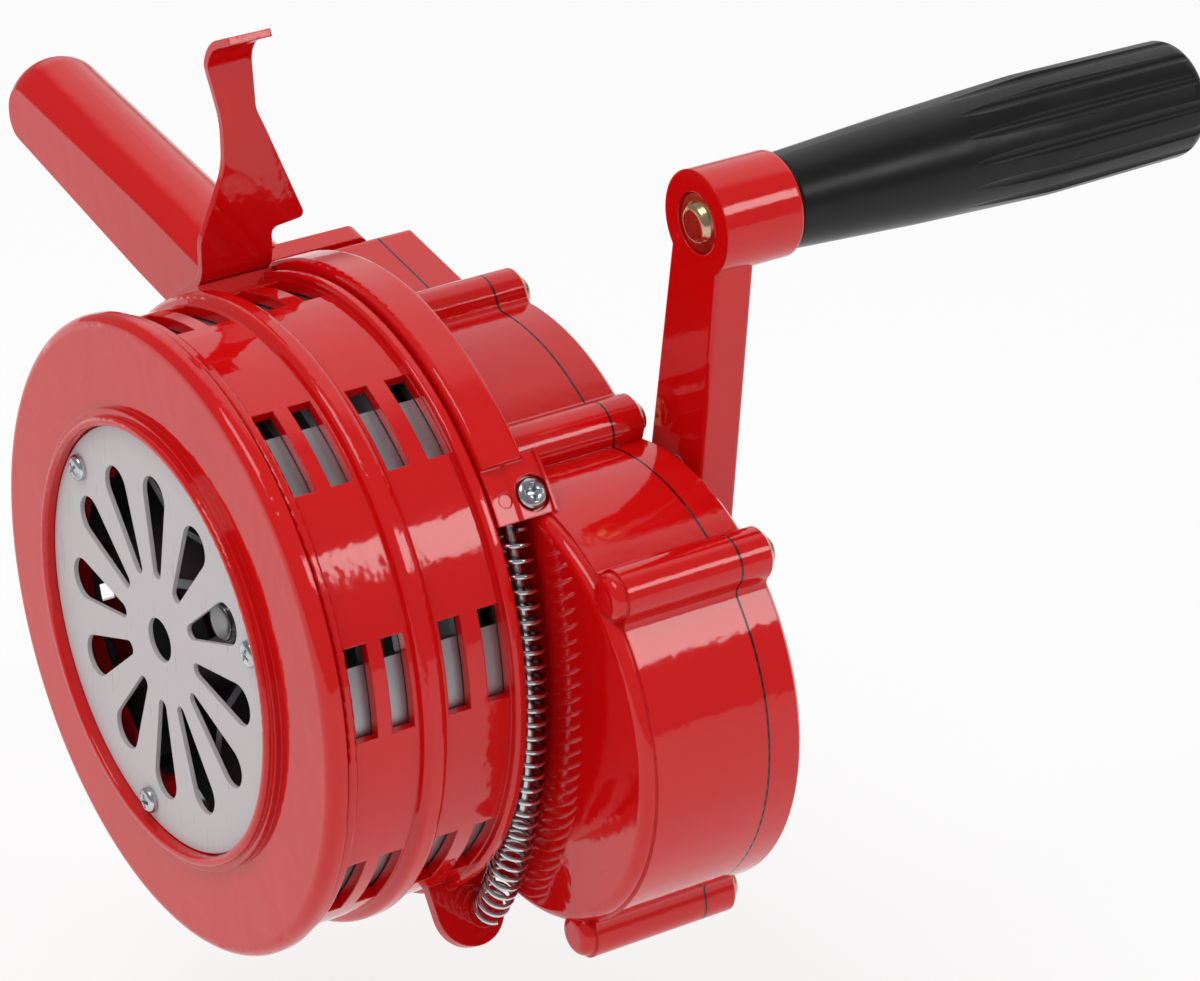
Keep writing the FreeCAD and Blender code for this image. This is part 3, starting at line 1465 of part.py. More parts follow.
def make_screws():
    seat = -S.guard_setback.value
    screws = []
    for step in range(int(S.guard_screws.value)):
        angle = math.radians(S.guard_screw_angle.value + 360 * step / S.guard_screws.value)
        reach = S.guard_screw_place.value
        screws.append(placed(small_screw(), (reach * math.cos(angle), seat, reach * math.sin(angle)), (0, 1, 0)))
    add_group("guard_screws", screws)

    screws = []
    for step in range(4):
        angle = math.radians(90 + 90 * step)
        reach = S.stator_screw_place.value
        place = (reach * math.cos(angle), (S.stator_rear - S.stator_floor).value, reach * math.sin(angle))
        screws.append(placed(large_screw(S.stator_floor + S.front_wall), place, (0, 1, 0)))
    add_group("stator_screws", screws)

    rear = S.cover_rear
    length = S.rear_cover_depth + S.screw_length - 1
    screws = [placed(large_screw(length), (x.value, rear.value, z.value), (0, -1, 0)) for x, z in boss_places()]
    add_group("cover_screws", screws)

    angle = math.radians(S.anchor_angle.value)
    outward = (math.cos(angle), 0, math.sin(angle))
    inward = (-outward[0], 0, -outward[2])
    reach = (S.block_radius - S.anchor_depth).value
    place = (reach * outward[0], S.anchor_place.value, reach * outward[2])
    add_group("anchor_screw", [placed(large_screw(S.screw_length - S.anchor_depth - 1), place, inward)])

    stand_in = 0.3
    length = S.anchor_pin_depth.value - stand_in
    pin = Part.makeCylinder(S.anchor_pin_radius.value, length, FreeCAD.Vector(), FreeCAD.Vector(0, 1, 0))
    reach = (S.block_radius - S.block_step).value - stand_in
    place = (reach * outward[0], S.anchor_pin_place.value, reach * outward[2])
    add_group("anchor_pin", [placed(pin, place, inward)])

    angle = math.radians(S.lever_foot_angle.value)
    outward = (math.cos(angle), 0, math.sin(angle))
    inward = (-outward[0], 0, -outward[2])
    reach = (S.lever_seat + S.lever_sheet).value
    rivet = rivet_shape()
    rivets = []
    for y in rivet_places():
        rivets.append(placed(rivet, (reach * outward[0], y.value, reach * outward[2]), inward))
    add_group("lever_rivets", rivets)

    rise = math.radians(S.grip_rise.value)
    inward = (math.cos(rise), 0, -math.sin(rise))
    screws = []
    for up in (-S.grip_screw_step / 2, S.grip_screw_step / 2):
        x, z = along_grip(S.root_reach + S.flange_thickness, up)
        length = S.flange_thickness + S.screw_length - 1
        screws.append(placed(large_screw(length), (x.value, S.grip_screw_place.value, z.value), inward))
    add_group("grip_screws", screws)


def rivet_shape():
    radius, head, height = S.rivet_radius.value, S.rivet_head.value, S.rivet_height.value
    along = FreeCAD.Vector(0, 1, 0)
    length = (S.lever_sheet + S.rivet_depth).value - 0.6
    shank = Part.makeCylinder(radius, length, FreeCAD.Vector(), along)
    ball = (head * head + height * height) / 2 / height
    dome = Part.makeSphere(ball, FreeCAD.Vector(0, ball - height, 0))
    dome = dome.common(Part.makeCylinder(head, height, FreeCAD.Vector(0, -height, 0), along))
    return shank.fuse(dome)


# Return spring: an open coil bent along an arc from the screw block down to the shutter's lug,
# round a guide rod that is fixed in the block.


def spring_line():
    """The bent coil's centre line: its centre, its radius and its first and last angle."""
    depth = (S.block_radius - S.spring_top_depth).value
    top_angle = math.radians(S.spring_top_angle.value)
    top = FreeCAD.Vector(depth * math.cos(top_angle), 0, depth * math.sin(top_angle))
    angle = math.radians(S.lug_angle.value)
    face = (S.lug_thickness / 2 + S.spring_wire / 2).value
    reach = (S.lug_centre_radius + S.spring_lug_offset).value
    end = FreeCAD.Vector(
        reach * math.cos(angle) - face * math.sin(angle),
        0,
        reach * math.sin(angle) + face * math.cos(angle),
    )
    chord = end - top
    radius = S.spring_bow.value
    middle = (top + end) / 2
    height = math.sqrt(radius**2 - (chord.Length / 2) ** 2)
    side = FreeCAD.Vector(chord.z, 0, -chord.x).normalize()
    centre = middle + side * height
    first = math.atan2(top.z - centre.z, top.x - centre.x)
    last = math.atan2(end.z - centre.z, end.x - centre.x)
    return centre, radius, first, last


def coil_point(line, share, turns, coil_radius):
    """A point of the coil and its direction, at a share of its length."""
    centre, radius, first, last = line

    def place(at):
        bend = first + (last - first) * at
        turn = 2 * math.pi * turns * at
        outward = FreeCAD.Vector(math.cos(bend), 0, math.sin(bend))
        across = FreeCAD.Vector(0, 1, 0)
        axis = centre + outward * radius
        return axis + (outward * math.cos(turn) + across * math.sin(turn)) * coil_radius

    step = 1e-5
    direction = (place(share + step) - place(share - step)).normalize()
    return place(share), direction


def biarc(start, start_way, end, end_way):
    """Two arcs that join two points and keep the direction at both."""
    gap = end - start
    ways = start_way + end_way
    a = 2 * (1 - start_way.dot(end_way))
    b = 2 * gap.dot(ways)
    c = -gap.dot(gap)
    reach = (-b + math.sqrt(b * b - 4 * a * c)) / (2 * a)
    first_apex = start + start_way * reach
    last_apex = end - end_way * reach
    joint = (first_apex + last_apex) / 2
    return [arc_from(start, start_way, joint), arc_from(joint, (last_apex - first_apex).normalize(), end)]


def arc_from(start, way, end):
    """The arc that leaves a point in a direction and ends at another point."""
    chord = end - start
    normal = way.cross(chord)
    inward = normal.cross(way).normalize()
    radius = chord.dot(chord) / (2 * chord.dot(inward))
    centre = start + inward * radius
    middle = centre + (start + chord / 2 - centre).normalize() * radius
    return Part.Arc(start, middle, end).toShape()


def make_return_spring():
    line = spring_line()
    turns = S.spring_turns.value
    coil_radius = ((S.spring_outer - S.spring_wire) / 2).value
    steps = int(turns * 2)
    edges = []
    for index in range(steps):
        start, start_way = coil_point(line, index / steps, turns, coil_radius)
        end, end_way = coil_point(line, (index + 1) / steps, turns, coil_radius)
        edges.extend(biarc(start, start_way, end, end_way))
    path = Part.Wire(edges)
    start, way = coil_point(line, 0, turns, coil_radius)
    section = wire_section(start, way, S.spring_wire.value / 2)
    shell = Part.BRepOffsetAPI.MakePipeShell(path)
    shell.add(section)
    shell.build()
    shell.makeSolid()
    spring = shell.shape()
    add_shape("return_spring", spring, 0, S.spring_place, 0)
    points = [coil_point(line, index / (turns * 24), turns, coil_radius)[0] for index in range(int(turns * 24))]
    gap = min(
        (points[here] - points[there]).Length
        for here in range(len(points))
        for there in range(here + 16, min(len(points), here + 34))
    )
    print("return_spring: least gap to itself", round(gap - S.spring_wire.value, 2), "mm")


def wire_section(point, way, radius):
    """The round wire's section, as a six-sided outline square to the wire."""
    side = way.cross(FreeCAD.Vector(0, 1, 0)).normalize()
    up = side.cross(way).normalize()
    corners = []
    for step in range(6):
        angle = 2 * math.pi * (step + 0.5) / 6
        corners.append(point + side * (radius * math.cos(angle)) + up * (radius * math.sin(angle)))
    return Part.makePolygon(corners + corners[:1])


def rod_seat():
    """Where the guide rod leaves the screw block, and the way it goes into it."""
    centre, radius, first, last = spring_line()
    start = centre + FreeCAD.Vector(math.cos(first), 0, math.sin(first)) * radius
    way = FreeCAD.Vector(-math.sin(first), 0, math.cos(first))
    if last > first:
        way = way * -1
    return start, way


def make_guide_rod():
    """The rod inside the spring: straight in the block, then bent along the spring's line."""
    centre, radius, first, last = spring_line()
    end = first + (last - first) * S.rod_share.value

    def place(angle):
        return centre + FreeCAD.Vector(math.cos(angle), 0, math.sin(angle)) * radius

    start, way = rod_seat()
    root = start + way * S.rod_root.value
    bent = Part.Arc(start, place((first + end) / 2), place(end)).toShape()
    path = Part.Wire([Part.makeLine(root, start), bent])
    section = Part.Wire(Part.makeCircle(S.rod_radius.value, root, way))
    rod = path.makePipeShell([section], True, False)
    add_shape("spring_guide_rod", rod, 0, S.spring_place, 0)


# The whole siren.


def make_all():
    idler_x, idler_z = idler_place()
    make_front_cover()
    make_intake_guard()
    make_stator()
    make_shutter_ring()
    make_trigger_lever()
    make_gear_housing()
    make_rear_cover()
    make_pistol_grip()
    make_rotor()
    make_rotor_shaft()
    make_nut("rotor_nut", 0, 0, S.rotor_hub_front - S.nut_depth, S.nut_width, S.nut_depth, S.rotor_shaft_radius)
    make_ball_bearing("front_bearing", S.rotor_shaft_radius, S.bearing_radius, S.stator_rear, S.bearing_width)
    make_ball_bearing(
        "rear_bearing", S.rotor_tail_radius, S.rear_bearing_radius, S.seam_place, S.rear_bearing_width
    )
    make_gears()
    pin_end = S.cover_rear - S.rear_wall
    make_pin("idler_shaft", idler_x, idler_z, S.idler_shaft_radius, S.second_gear_place - 6, pin_end)
    bush_bore = S.crank_shaft_radius + S.running_fit
    bush = S.crank_shaft_radius + S.bush_wall
    make_ring("front_bush", S.crank_x, S.crank_z, bush_bore, bush, S.crank_bush_start, S.crank_bush_end)
    cover_end = S.cover_rear + S.crank_boss_stand_out
    make_ring("rear_bush", S.crank_x, S.crank_z, bush_bore, bush, S.seam_place, cover_end)
    make_crank_shaft()
    make_crank_arm()
    nut_place = S.arm_front + S.arm_thickness + 1.5
    make_nut("crank_nut", S.crank_x, S.crank_z, nut_place, S.nut_width + 6, S.nut_depth, S.crank_shaft_radius)
    tip_x, tip_z = crank_tip()
    make_handle_pin()
    washer = S.arm_front + S.pin_seat
    make_ring(
        "pin_washer", tip_x, tip_z, S.pin_radius, S.pin_washer, washer - S.pin_washer_thickness, washer
    )
    make_crank_grip()
    make_screws()
    make_return_spring()
    make_guide_rod()


def write_parts():
    doc.recompute()
    failed = [item.Label for item in doc.Objects if {"Invalid", "Error"} & set(item.State)]
    if failed:
        raise RuntimeError(f"these objects failed: {failed}")
    nodes = [item for item in doc.Objects if item.TypeId in ("PartDesign::Body", "Part::Feature")]
    nodes = [item for item in nodes if item.Label == item.Name]
    for node in nodes:
        shape = node.Shape
        if shape.isNull() or not shape.isValid() or not shape.Solids:
            raise RuntimeError(f"{node.Label} has no valid shape")
    for node in nodes:
        node.Shape.exportStep(f"parts/{node.Label}.step")
    print(len(nodes), "nodes written")


make_all()
write_parts()
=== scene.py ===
import json
import math
import random

import bpy
from mathutils import Matrix, Vector


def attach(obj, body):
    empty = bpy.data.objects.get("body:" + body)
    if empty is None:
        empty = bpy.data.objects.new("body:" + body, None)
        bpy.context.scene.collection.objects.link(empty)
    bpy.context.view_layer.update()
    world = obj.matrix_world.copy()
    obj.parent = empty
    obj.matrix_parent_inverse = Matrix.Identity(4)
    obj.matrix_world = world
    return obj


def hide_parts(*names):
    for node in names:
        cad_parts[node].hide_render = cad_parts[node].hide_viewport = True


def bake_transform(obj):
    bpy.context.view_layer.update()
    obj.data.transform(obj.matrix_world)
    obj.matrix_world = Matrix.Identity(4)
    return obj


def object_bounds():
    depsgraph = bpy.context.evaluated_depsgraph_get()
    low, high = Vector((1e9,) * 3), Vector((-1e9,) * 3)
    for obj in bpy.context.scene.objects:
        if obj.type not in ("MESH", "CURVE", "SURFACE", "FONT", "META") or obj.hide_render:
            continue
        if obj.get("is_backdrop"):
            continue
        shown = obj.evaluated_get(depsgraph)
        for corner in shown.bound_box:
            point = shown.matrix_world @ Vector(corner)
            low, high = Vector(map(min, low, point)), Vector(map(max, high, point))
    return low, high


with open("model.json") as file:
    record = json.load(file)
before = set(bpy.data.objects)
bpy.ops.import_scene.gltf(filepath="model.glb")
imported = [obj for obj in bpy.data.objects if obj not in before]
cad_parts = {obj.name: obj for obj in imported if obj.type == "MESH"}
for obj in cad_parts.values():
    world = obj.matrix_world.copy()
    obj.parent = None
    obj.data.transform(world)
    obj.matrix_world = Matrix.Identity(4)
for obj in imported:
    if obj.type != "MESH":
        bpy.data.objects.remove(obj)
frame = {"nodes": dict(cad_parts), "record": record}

bl_info = {
    "name": "Hand crank siren",
    "version": (1, 0, 0),
    "blender": (4, 5, 0),
    "location": "3D View > Sidebar > Siren",
    "description": "Finishes a hand crank siren round its packed pieces: screws, spring, enamel and stage",
    "category": "Add Mesh",
}

MM = 0.001
SEAMED = ("gear_housing", "rear_cover")


def linear(code):
    """An sRGB hex colour as the four linear numbers that a colour socket takes."""
    channels = [int(code[at:at + 2], 16) / 255 for at in (1, 3, 5)]
    return [c / 12.92 if c <= 0.04045 else ((c + 0.055) / 1.055) ** 2.4 for c in channels] + [1.0]


def size_value(name, description, millimetres):
    """A length that a user may change, given in millimetres."""
    return bpy.props.FloatProperty(name=name, description=description, default=millimetres * MM, unit="LENGTH")


def angle_value(name, description, degrees):
    """An angle that a user may change, given in degrees."""
    return bpy.props.FloatProperty(name=name, description=description, default=math.radians(degrees), subtype="ANGLE")


def colour_value(name, description, code):
    """A colour that a user may change, given as an sRGB hex value."""
    return bpy.props.FloatVectorProperty(
        name=name, description=description, default=linear(code), size=4, min=0, max=1, subtype="COLOR")


class SirenColours(bpy.types.PropertyGroup):
    """The finishes' own colours, and the colour of the painted shadow along the seam."""

    enamel: colour_value("Enamel", "Signal red of the castings, pressings and grip", "#D20B0D")
    enamel_deep: colour_value("Deep enamel", "Red where the enamel lies thicker", "#C40709")
    guard: colour_value("Guard paint", "Warm light grey of the intake guard", "#C6C0C2")
    guard_mark: colour_value("Guard marks", "Rubbed marks on the guard's paint", "#A99A9E")
    aluminium: colour_value("Aluminium", "Bare turned aluminium", "#A2A2A6")
    zinc: colour_value("Zinc plate", "Bright blue-white zinc on the screws", "#CFD4D8")
    yellow_zinc: colour_value("Yellow zinc", "Straw-coloured zinc on the pin and cover screws", "#D3C08C")
    yellow_zinc_blush: colour_value("Yellow zinc blush", "Pink and green bloom in the yellow zinc", "#C9A08E")
    spring: colour_value("Spring wire", "Bright drawn spring wire", "#D2D2D3")
    machined: colour_value("Machined steel", "Oiled machined steel of shafts, gears and bearings", "#A9AAAC")
    bronze: colour_value("Bronze", "Sintered bronze of the bushes", "#B08A4E")
    seam: colour_value("Seam", "Shadow in the joint between gear housing and rear cover", "#2A0405")
    plastic: colour_value("Plastic", "Black of the crank grip", "#161618")
    floor: colour_value("Floor", "Pale floor of the stage", "#F4F4F4")


class SirenSizes(bpy.types.PropertyGroup):
    """Sizes of the pieces that are modelled here."""

    guard_head: size_value("Guard screw head", "Radius of the guard screws' heads", 3.3)
    guard_head_height: size_value("Guard head height", "Height of the guard screws' heads", 2.2)
    screw_head: size_value("Screw head", "Radius of the large screws' heads", 3.9)
    screw_head_height: size_value("Screw head height", "Height of the large screws' heads", 2.4)
    spring_outer: size_value("Spring", "Outer diameter of the return spring", 9.3)
    spring_wire: size_value("Wire", "Diameter of the spring's wire", 1.2)
    spring_bow: size_value("Spring bow", "Radius of the arc that the spring is bent along", 121)
    spring_place: size_value("Spring place", "How far behind the front face the spring runs", 59.7)
    spring_top_reach: size_value("Spring top", "Distance of the spring's top end from the drum's axis", 73.6)
    spring_top_angle: angle_value("Spring top angle", "Direction of the spring's top end from the drum's axis", 32.35)
    spring_foot_reach: size_value("Spring foot", "Distance of the spring's foot from the drum's axis", 86.3)
    spring_foot_angle: angle_value("Spring foot angle", "Direction of the shutter's lug from the drum's axis", -55)
    spring_foot_lift: size_value("Spring foot lift", "From the lug's middle to the wire's middle", 2.6)
    anchor_angle: angle_value("Anchor angle", "Direction of the anchor screw from the drum's axis", 37)
    grip_rise: angle_value("Grip rise", "How far the pistol grip rises towards its end", 10.5)
    seam_place: size_value("Seam", "How far behind the front face the rear cover meets the housing", 99.5)
    spring_turns: bpy.props.IntProperty(name="Turns", description="Turns of the return spring", default=31, min=3)


class SirenStage(bpy.types.PropertyGroup):
    """The floor's and the camera's place."""

    floor_drop: size_value("Floor drop", "From the siren's lowest point to the floor, so that the crank clears it", 64)
    azimuth: angle_value("Azimuth", "Camera direction round the siren; 0 looks along +Y", 56.6)
    elevation: angle_value("Elevation", "Camera height above the horizon", 26.55)
    distance: size_value("Distance", "From the camera to the point it looks at", 1200)
    aim: bpy.props.FloatVectorProperty(
        name="Aim", description="The point that the camera looks at",
        default=(45.4 * MM, 96.3 * MM, 32.5 * MM), subtype="XYZ", unit="LENGTH")
    lens: bpy.props.FloatProperty(name="Lens", description="Focal length in millimetres", default=150, min=1)


def sizes():
    """The sizes in the sidebar."""
    return bpy.context.scene.siren_sizes


def colours():
    """The colours in the sidebar."""
    return bpy.context.scene.siren_colours


# Materials


def add_node(tree, kind, inputs=None, **settings):
    """Adds a node. Inputs are numbers, colours or the sockets to link; settings are its properties."""
    node = tree.nodes.new(kind)
    for name, value in settings.items():
        setattr(node, name, value)
    for socket, value in (inputs or {}).items():
        if isinstance(value, bpy.types.NodeSocket):
            tree.links.new(value, node.inputs[socket])
        else:
            node.inputs[socket].default_value = value
    return node


def new_material(name):
    """A material with a Principled shader. Returns it, its tree, the shader and the object coordinates."""
    material = bpy.data.materials.new(name)
    material.use_nodes = True
    tree = material.node_tree
    tree.nodes.clear()
    shader = add_node(tree, "ShaderNodeBsdfPrincipled")
    add_node(tree, "ShaderNodeOutputMaterial", {"Surface": shader.outputs["BSDF"]})
    place = add_node(tree, "ShaderNodeTexCoord").outputs["Object"]
    return material, tree, shader, place


def per_metre(millimetres):
    """The texture scale that gives a pattern of this size."""
    return 1 / (millimetres * MM)


def raise_surface(tree, shader, height, edge=None):
    """Gives the shader a bump from a height in millimetres. edge is the radius that edges are rounded to."""
    inputs = {"Height": height, "Distance": MM, "Strength": 1.0}
    if edge is not None:
        rounded = add_node(tree, "ShaderNodeBevel", {"Radius": edge * MM}, samples=4)
        inputs["Normal"] = rounded.outputs["Normal"]
    bump = add_node(tree, "ShaderNodeBump", inputs)
    tree.links.new(bump.outputs["Normal"], shader.inputs["Normal"])


def enamel(name, seam=None):
    """Red stove enamel, sprayed and baked. seam is the place along Y where a painted shadow darkens the joint between
    two castings.

    The thick glossy coat gives sharp reflections whose edges break up in the orange peel, with
    a few pits where the casting's pores come through. Sizes are in millimetres."""
    shade_size, peel_size, wave_size, pit_spacing = 38, 3.2, 11, 9
    peel_height_mm, wave_height_mm, pit_depth, pit_size = 0.05, 0.12, 0.05, 0.35
    shadow_half_width, shadow_fade = 0.22, 0.2
    material, tree, shader, place = new_material(name)
    colour = colours()
    shader.inputs["Roughness"].default_value = 0.07
    shader.inputs["IOR"].default_value = 1.5

    drift = add_node(tree, "ShaderNodeTexNoise", {"Vector": place, "Scale": per_metre(shade_size), "Detail": 3.0})
    shade = add_node(
        tree, "ShaderNodeMix",
        {"Factor": drift.outputs["Fac"], "A": colour.enamel[:], "B": colour.enamel_deep[:]}, data_type="RGBA")
    skin = shade.outputs["Result"]
    # Painted shadow: the base colour goes to the dark seam colour in a thin band along the joint of the housing and
    # the rear cover.
    if seam is not None:
        apart = add_node(
            tree, "ShaderNodeMath",
            {0: add_node(tree, "ShaderNodeSeparateXYZ", {"Vector": place}).outputs["Y"], 1: seam},
            operation="SUBTRACT")
        away = add_node(tree, "ShaderNodeMath", {0: apart.outputs[0]}, operation="ABSOLUTE")
        dark = add_node(
            tree, "ShaderNodeMapRange",
            {
                "Value": away.outputs[0],
                "From Min": shadow_half_width * MM,
                "From Max": (shadow_half_width + shadow_fade) * MM,
                "To Min": 1.0,
                "To Max": 0.0,
            })
        skin = add_node(
            tree, "ShaderNodeMix",
            {"Factor": dark.outputs["Result"], "A": skin, "B": colour.seam[:]}, data_type="RGBA").outputs["Result"]
    tree.links.new(skin, shader.inputs["Base Color"])

    peel = add_node(tree, "ShaderNodeTexNoise", {"Vector": place, "Scale": per_metre(peel_size), "Detail": 1.0})
    wave = add_node(tree, "ShaderNodeTexNoise", {"Vector": place, "Scale": per_metre(wave_size), "Detail": 1.0})
    pits = add_node(tree, "ShaderNodeTexVoronoi", {"Vector": place, "Scale": per_metre(pit_spacing)})
    dent = add_node(
        tree, "ShaderNodeMapRange",
        {
            "Value": pits.outputs["Distance"],
            "From Min": 0.0,
            "From Max": pit_size / pit_spacing,
            "To Min": -pit_depth,
            "To Max": 0.0,
        },
        interpolation_type="SMOOTHSTEP")
    peel_height = add_node(tree, "ShaderNodeMath", {0: peel.outputs["Fac"], 1: peel_height_mm}, operation="MULTIPLY")
    both = add_node(
        tree, "ShaderNodeMath",
        {0: wave.outputs["Fac"], 1: wave_height_mm, 2: peel_height.outputs[0]}, operation="MULTIPLY_ADD")
    height = add_node(tree, "ShaderNodeMath", {0: both.outputs[0], 1: dent.outputs["Result"]}, operation="ADD")
    raise_surface(tree, shader, height.outputs[0], edge=0.5)
    return material


def guard_paint(name):
    """Matt grey powder coat on pressed sheet: an even grain, a broad soft sheen and a few rubbed marks."""
    material, tree, shader, place = new_material(name)
    colour = colours()
    shader.inputs["IOR"].default_value = 1.5
    stretch = add_node(
        tree, "ShaderNodeMapping",
        {"Vector": place, "Rotation": (0, math.radians(38), 0), "Scale": (1, 1, 0.07)})
    scratch = add_node(
        tree, "ShaderNodeTexNoise",
        {"Vector": stretch.outputs["Vector"], "Scale": per_metre(0.7), "Detail": 2.0})
    few = add_node(
        tree, "ShaderNodeMapRange",
        {"Value": scratch.outputs["Fac"], "From Min": 0.66, "From Max": 0.74, "To Max": 0.6})
    shade = add_node(
        tree, "ShaderNodeMix",
        {"Factor": few.outputs["Result"], "A": colour.guard[:], "B": colour.guard_mark[:]}, data_type="RGBA")
    tree.links.new(shade.outputs["Result"], shader.inputs["Base Color"])
    blot = add_node(tree, "ShaderNodeTexNoise", {"Vector": place, "Scale": per_metre(9), "Detail": 3.0})
    rough = add_node(
        tree, "ShaderNodeMapRange", {"Value": blot.outputs["Fac"], "To Min": 0.42, "To Max": 0.6})
    tree.links.new(rough.outputs["Result"], shader.inputs["Roughness"])
    grain = add_node(tree, "ShaderNodeTexNoise", {"Vector": place, "Scale": per_metre(0.5), "Detail": 2.0})
    height = add_node(tree, "ShaderNodeMath", {0: grain.outputs["Fac"], 1: 0.01}, operation="MULTIPLY")
    raise_surface(tree, shader, height.outputs[0], edge=0.25)
    return material


def turned_metal(name, base, low, high, groove, stretch):
    """Metal turned on a lathe about Y: fine rings that spread its reflections along the axis.

    low and high are the least and greatest roughness, groove the tool marks' spacing in millimetres,
    and stretch how much longer a mark is round the axis than it is wide."""
    material, tree, shader, place = new_material(name)
    shader.inputs["Metallic"].default_value = 1.0
    shader.inputs["Base Color"].default_value = base
    along = add_node(
        tree, "ShaderNodeMapping", {"Vector": place, "Scale": (1 / stretch, 1, 1 / stretch)})
    marks = add_node(
        tree, "ShaderNodeTexNoise",
        {"Vector": along.outputs["Vector"], "Scale": per_metre(groove), "Detail": 3.0, "Roughness": 0.6})
    rough = add_node(
        tree, "ShaderNodeMapRange", {"Value": marks.outputs["Fac"], "To Min": low, "To Max": high})
    tree.links.new(rough.outputs["Result"], shader.inputs["Roughness"])
    height = add_node(tree, "ShaderNodeMath", {0: marks.outputs["Fac"], 1: 0.012}, operation="MULTIPLY")
    raise_surface(tree, shader, height.outputs[0])
    return material


def plated_metal(name, base, bloom, low, high):
    """Plated steel: a bright skin with cloudy patches, and a second colour where the film is thicker."""
    material, tree, shader, place = new_material(name)
    shader.inputs["Metallic"].default_value = 1.0
    cloud = add_node(tree, "ShaderNodeTexNoise", {"Vector": place, "Scale": per_metre(3.5), "Detail": 3.0})
    share = add_node(
        tree, "ShaderNodeMapRange", {"Value": cloud.outputs["Fac"], "From Min": 0.4, "From Max": 0.65})
    shade = add_node(
        tree, "ShaderNodeMix", {"Factor": share.outputs["Result"], "A": base, "B": bloom}, data_type="RGBA")
    tree.links.new(shade.outputs["Result"], shader.inputs["Base Color"])
    fine = add_node(tree, "ShaderNodeTexNoise", {"Vector": place, "Scale": per_metre(0.8), "Detail": 2.0})
    rough = add_node(tree, "ShaderNodeMapRange", {"Value": fine.outputs["Fac"], "To Min": low, "To Max": high})
    tree.links.new(rough.outputs["Result"], shader.inputs["Roughness"])
    height = add_node(tree, "ShaderNodeMath", {0: fine.outputs["Fac"], 1: 0.006}, operation="MULTIPLY")
    raise_surface(tree, shader, height.outputs[0], edge=0.12)
    return material


def moulded_plastic(name):
    """Black moulded plastic: a soft gloss over a faint spark-eroded grain, with slight flow marks."""
    material, tree, shader, place = new_material(name)
    shader.inputs["Base Color"].default_value = colours().plastic[:]
    shader.inputs["IOR"].default_value = 1.5
    shader.inputs["Specular IOR Level"].default_value = 0.24
    flow = add_node(tree, "ShaderNodeTexNoise", {"Vector": place, "Scale": per_metre(16), "Detail": 3.0})
    rough = add_node(tree, "ShaderNodeMapRange", {"Value": flow.outputs["Fac"], "To Min": 0.2, "To Max": 0.4})
    tree.links.new(rough.outputs["Result"], shader.inputs["Roughness"])
    grain = add_node(tree, "ShaderNodeTexNoise", {"Vector": place, "Scale": per_metre(0.6), "Detail": 2.0})
    height = add_node(tree, "ShaderNodeMath", {0: grain.outputs["Fac"], 1: 0.008}, operation="MULTIPLY")
    raise_surface(tree, shader, height.outputs[0], edge=0.3)
    return material


def finish_for(slot):
    """The material that a slot of the record stands for, made once. The second enamel, with a painted shadow along the
    seam, is for both seamed castings.
    """
    colour = colours()
    finishes = {
        "red_enamel": (
            "Red stove enamel on cast aluminium",
            lambda name: enamel(name)),
        "red_enamel_seam_shadow": (
            "Red stove enamel round the dark seam of two castings",
            lambda name: enamel(name, sizes().seam_place)),
        "grey_guard": (
            "Grey powder coat on pressed sheet",
            lambda name: guard_paint(name)),
        "bare_aluminium": (
            "Turned bare aluminium",
            lambda name: turned_metal(name, colour.aluminium[:], 0.25, 0.55, 1.1, 14)),
        "zinc_steel": (
            "Bright zinc plate on steel",
            lambda name: plated_metal(name, colour.zinc[:], colour.aluminium[:], 0.12, 0.3)),
        "yellow_zinc": (
            "Yellow zinc plate on steel",
            lambda name: plated_metal(name, colour.yellow_zinc[:], colour.yellow_zinc_blush[:], 0.12, 0.28)),
        "spring_steel": (
            "Bright drawn spring wire",
            lambda name: plated_metal(name, colour.spring[:], colour.zinc[:], 0.1, 0.22)),
        "machined_steel": (
            "Machined and oiled steel",
            lambda name: turned_metal(name, colour.machined[:], 0.2, 0.4, 0.4, 20)),
        "bronze": (
            "Sintered bronze",
            lambda name: turned_metal(name, colour.bronze[:], 0.35, 0.55, 0.6, 4)),
        "black_plastic": (
            "Moulded black plastic",
            lambda name: moulded_plastic(name)),
    }
    title, make = finishes[slot]
    return bpy.data.materials.get(title) or make(title)


def paint(piece, material):
    """Gives a piece one material all over."""
    if piece.material_slots:
        for slot in piece.material_slots:
            slot.material = material
    else:
        piece.data.materials.append(material)


# Modelling helpers


def deselect_all():
    """Leaves edit mode and selects nothing."""
    if bpy.context.object and bpy.context.object.mode != "OBJECT":
        bpy.ops.object.mode_set(mode="OBJECT")
    bpy.ops.object.select_all(action="DESELECT")


def select_only(piece):
    """Makes one piece the only selected and the active one."""
    deselect_all()
    piece.select_set(True)
    bpy.context.view_layer.objects.active = piece


def apply_modifiers(piece):
    """Applies a piece's modifiers in their order."""
    select_only(piece)
    for modifier in list(piece.modifiers):
        bpy.ops.object.modifier_apply(modifier=modifier.name)


def drawn_out(rings, sides):
    """A closed round solid along +Z: a disc drawn out from ring to ring, each a radius and a height."""
    deselect_all()
    radius, height = rings[0]
    bpy.ops.mesh.primitive_circle_add(
        vertices=sides, radius=radius, fill_type="NGON", location=(0, 0, height))
    piece = bpy.context.object
    bpy.ops.object.transform_apply(location=True)
    bpy.ops.object.mode_set(mode="EDIT")
    bpy.ops.mesh.select_all(action="SELECT")
    for next_radius, next_height in rings[1:]:
        bpy.ops.mesh.extrude_region_move(TRANSFORM_OT_translate={"value": (0, 0, next_height - height)})
        share = next_radius / radius
        bpy.ops.transform.resize(value=(share, share, 1), center_override=(0, 0, next_height))
        radius, height = next_radius, next_height
    bpy.ops.mesh.select_all(action="SELECT")
    bpy.ops.mesh.normals_make_consistent(inside=False)
    bpy.ops.object.mode_set(mode="OBJECT")
    return piece


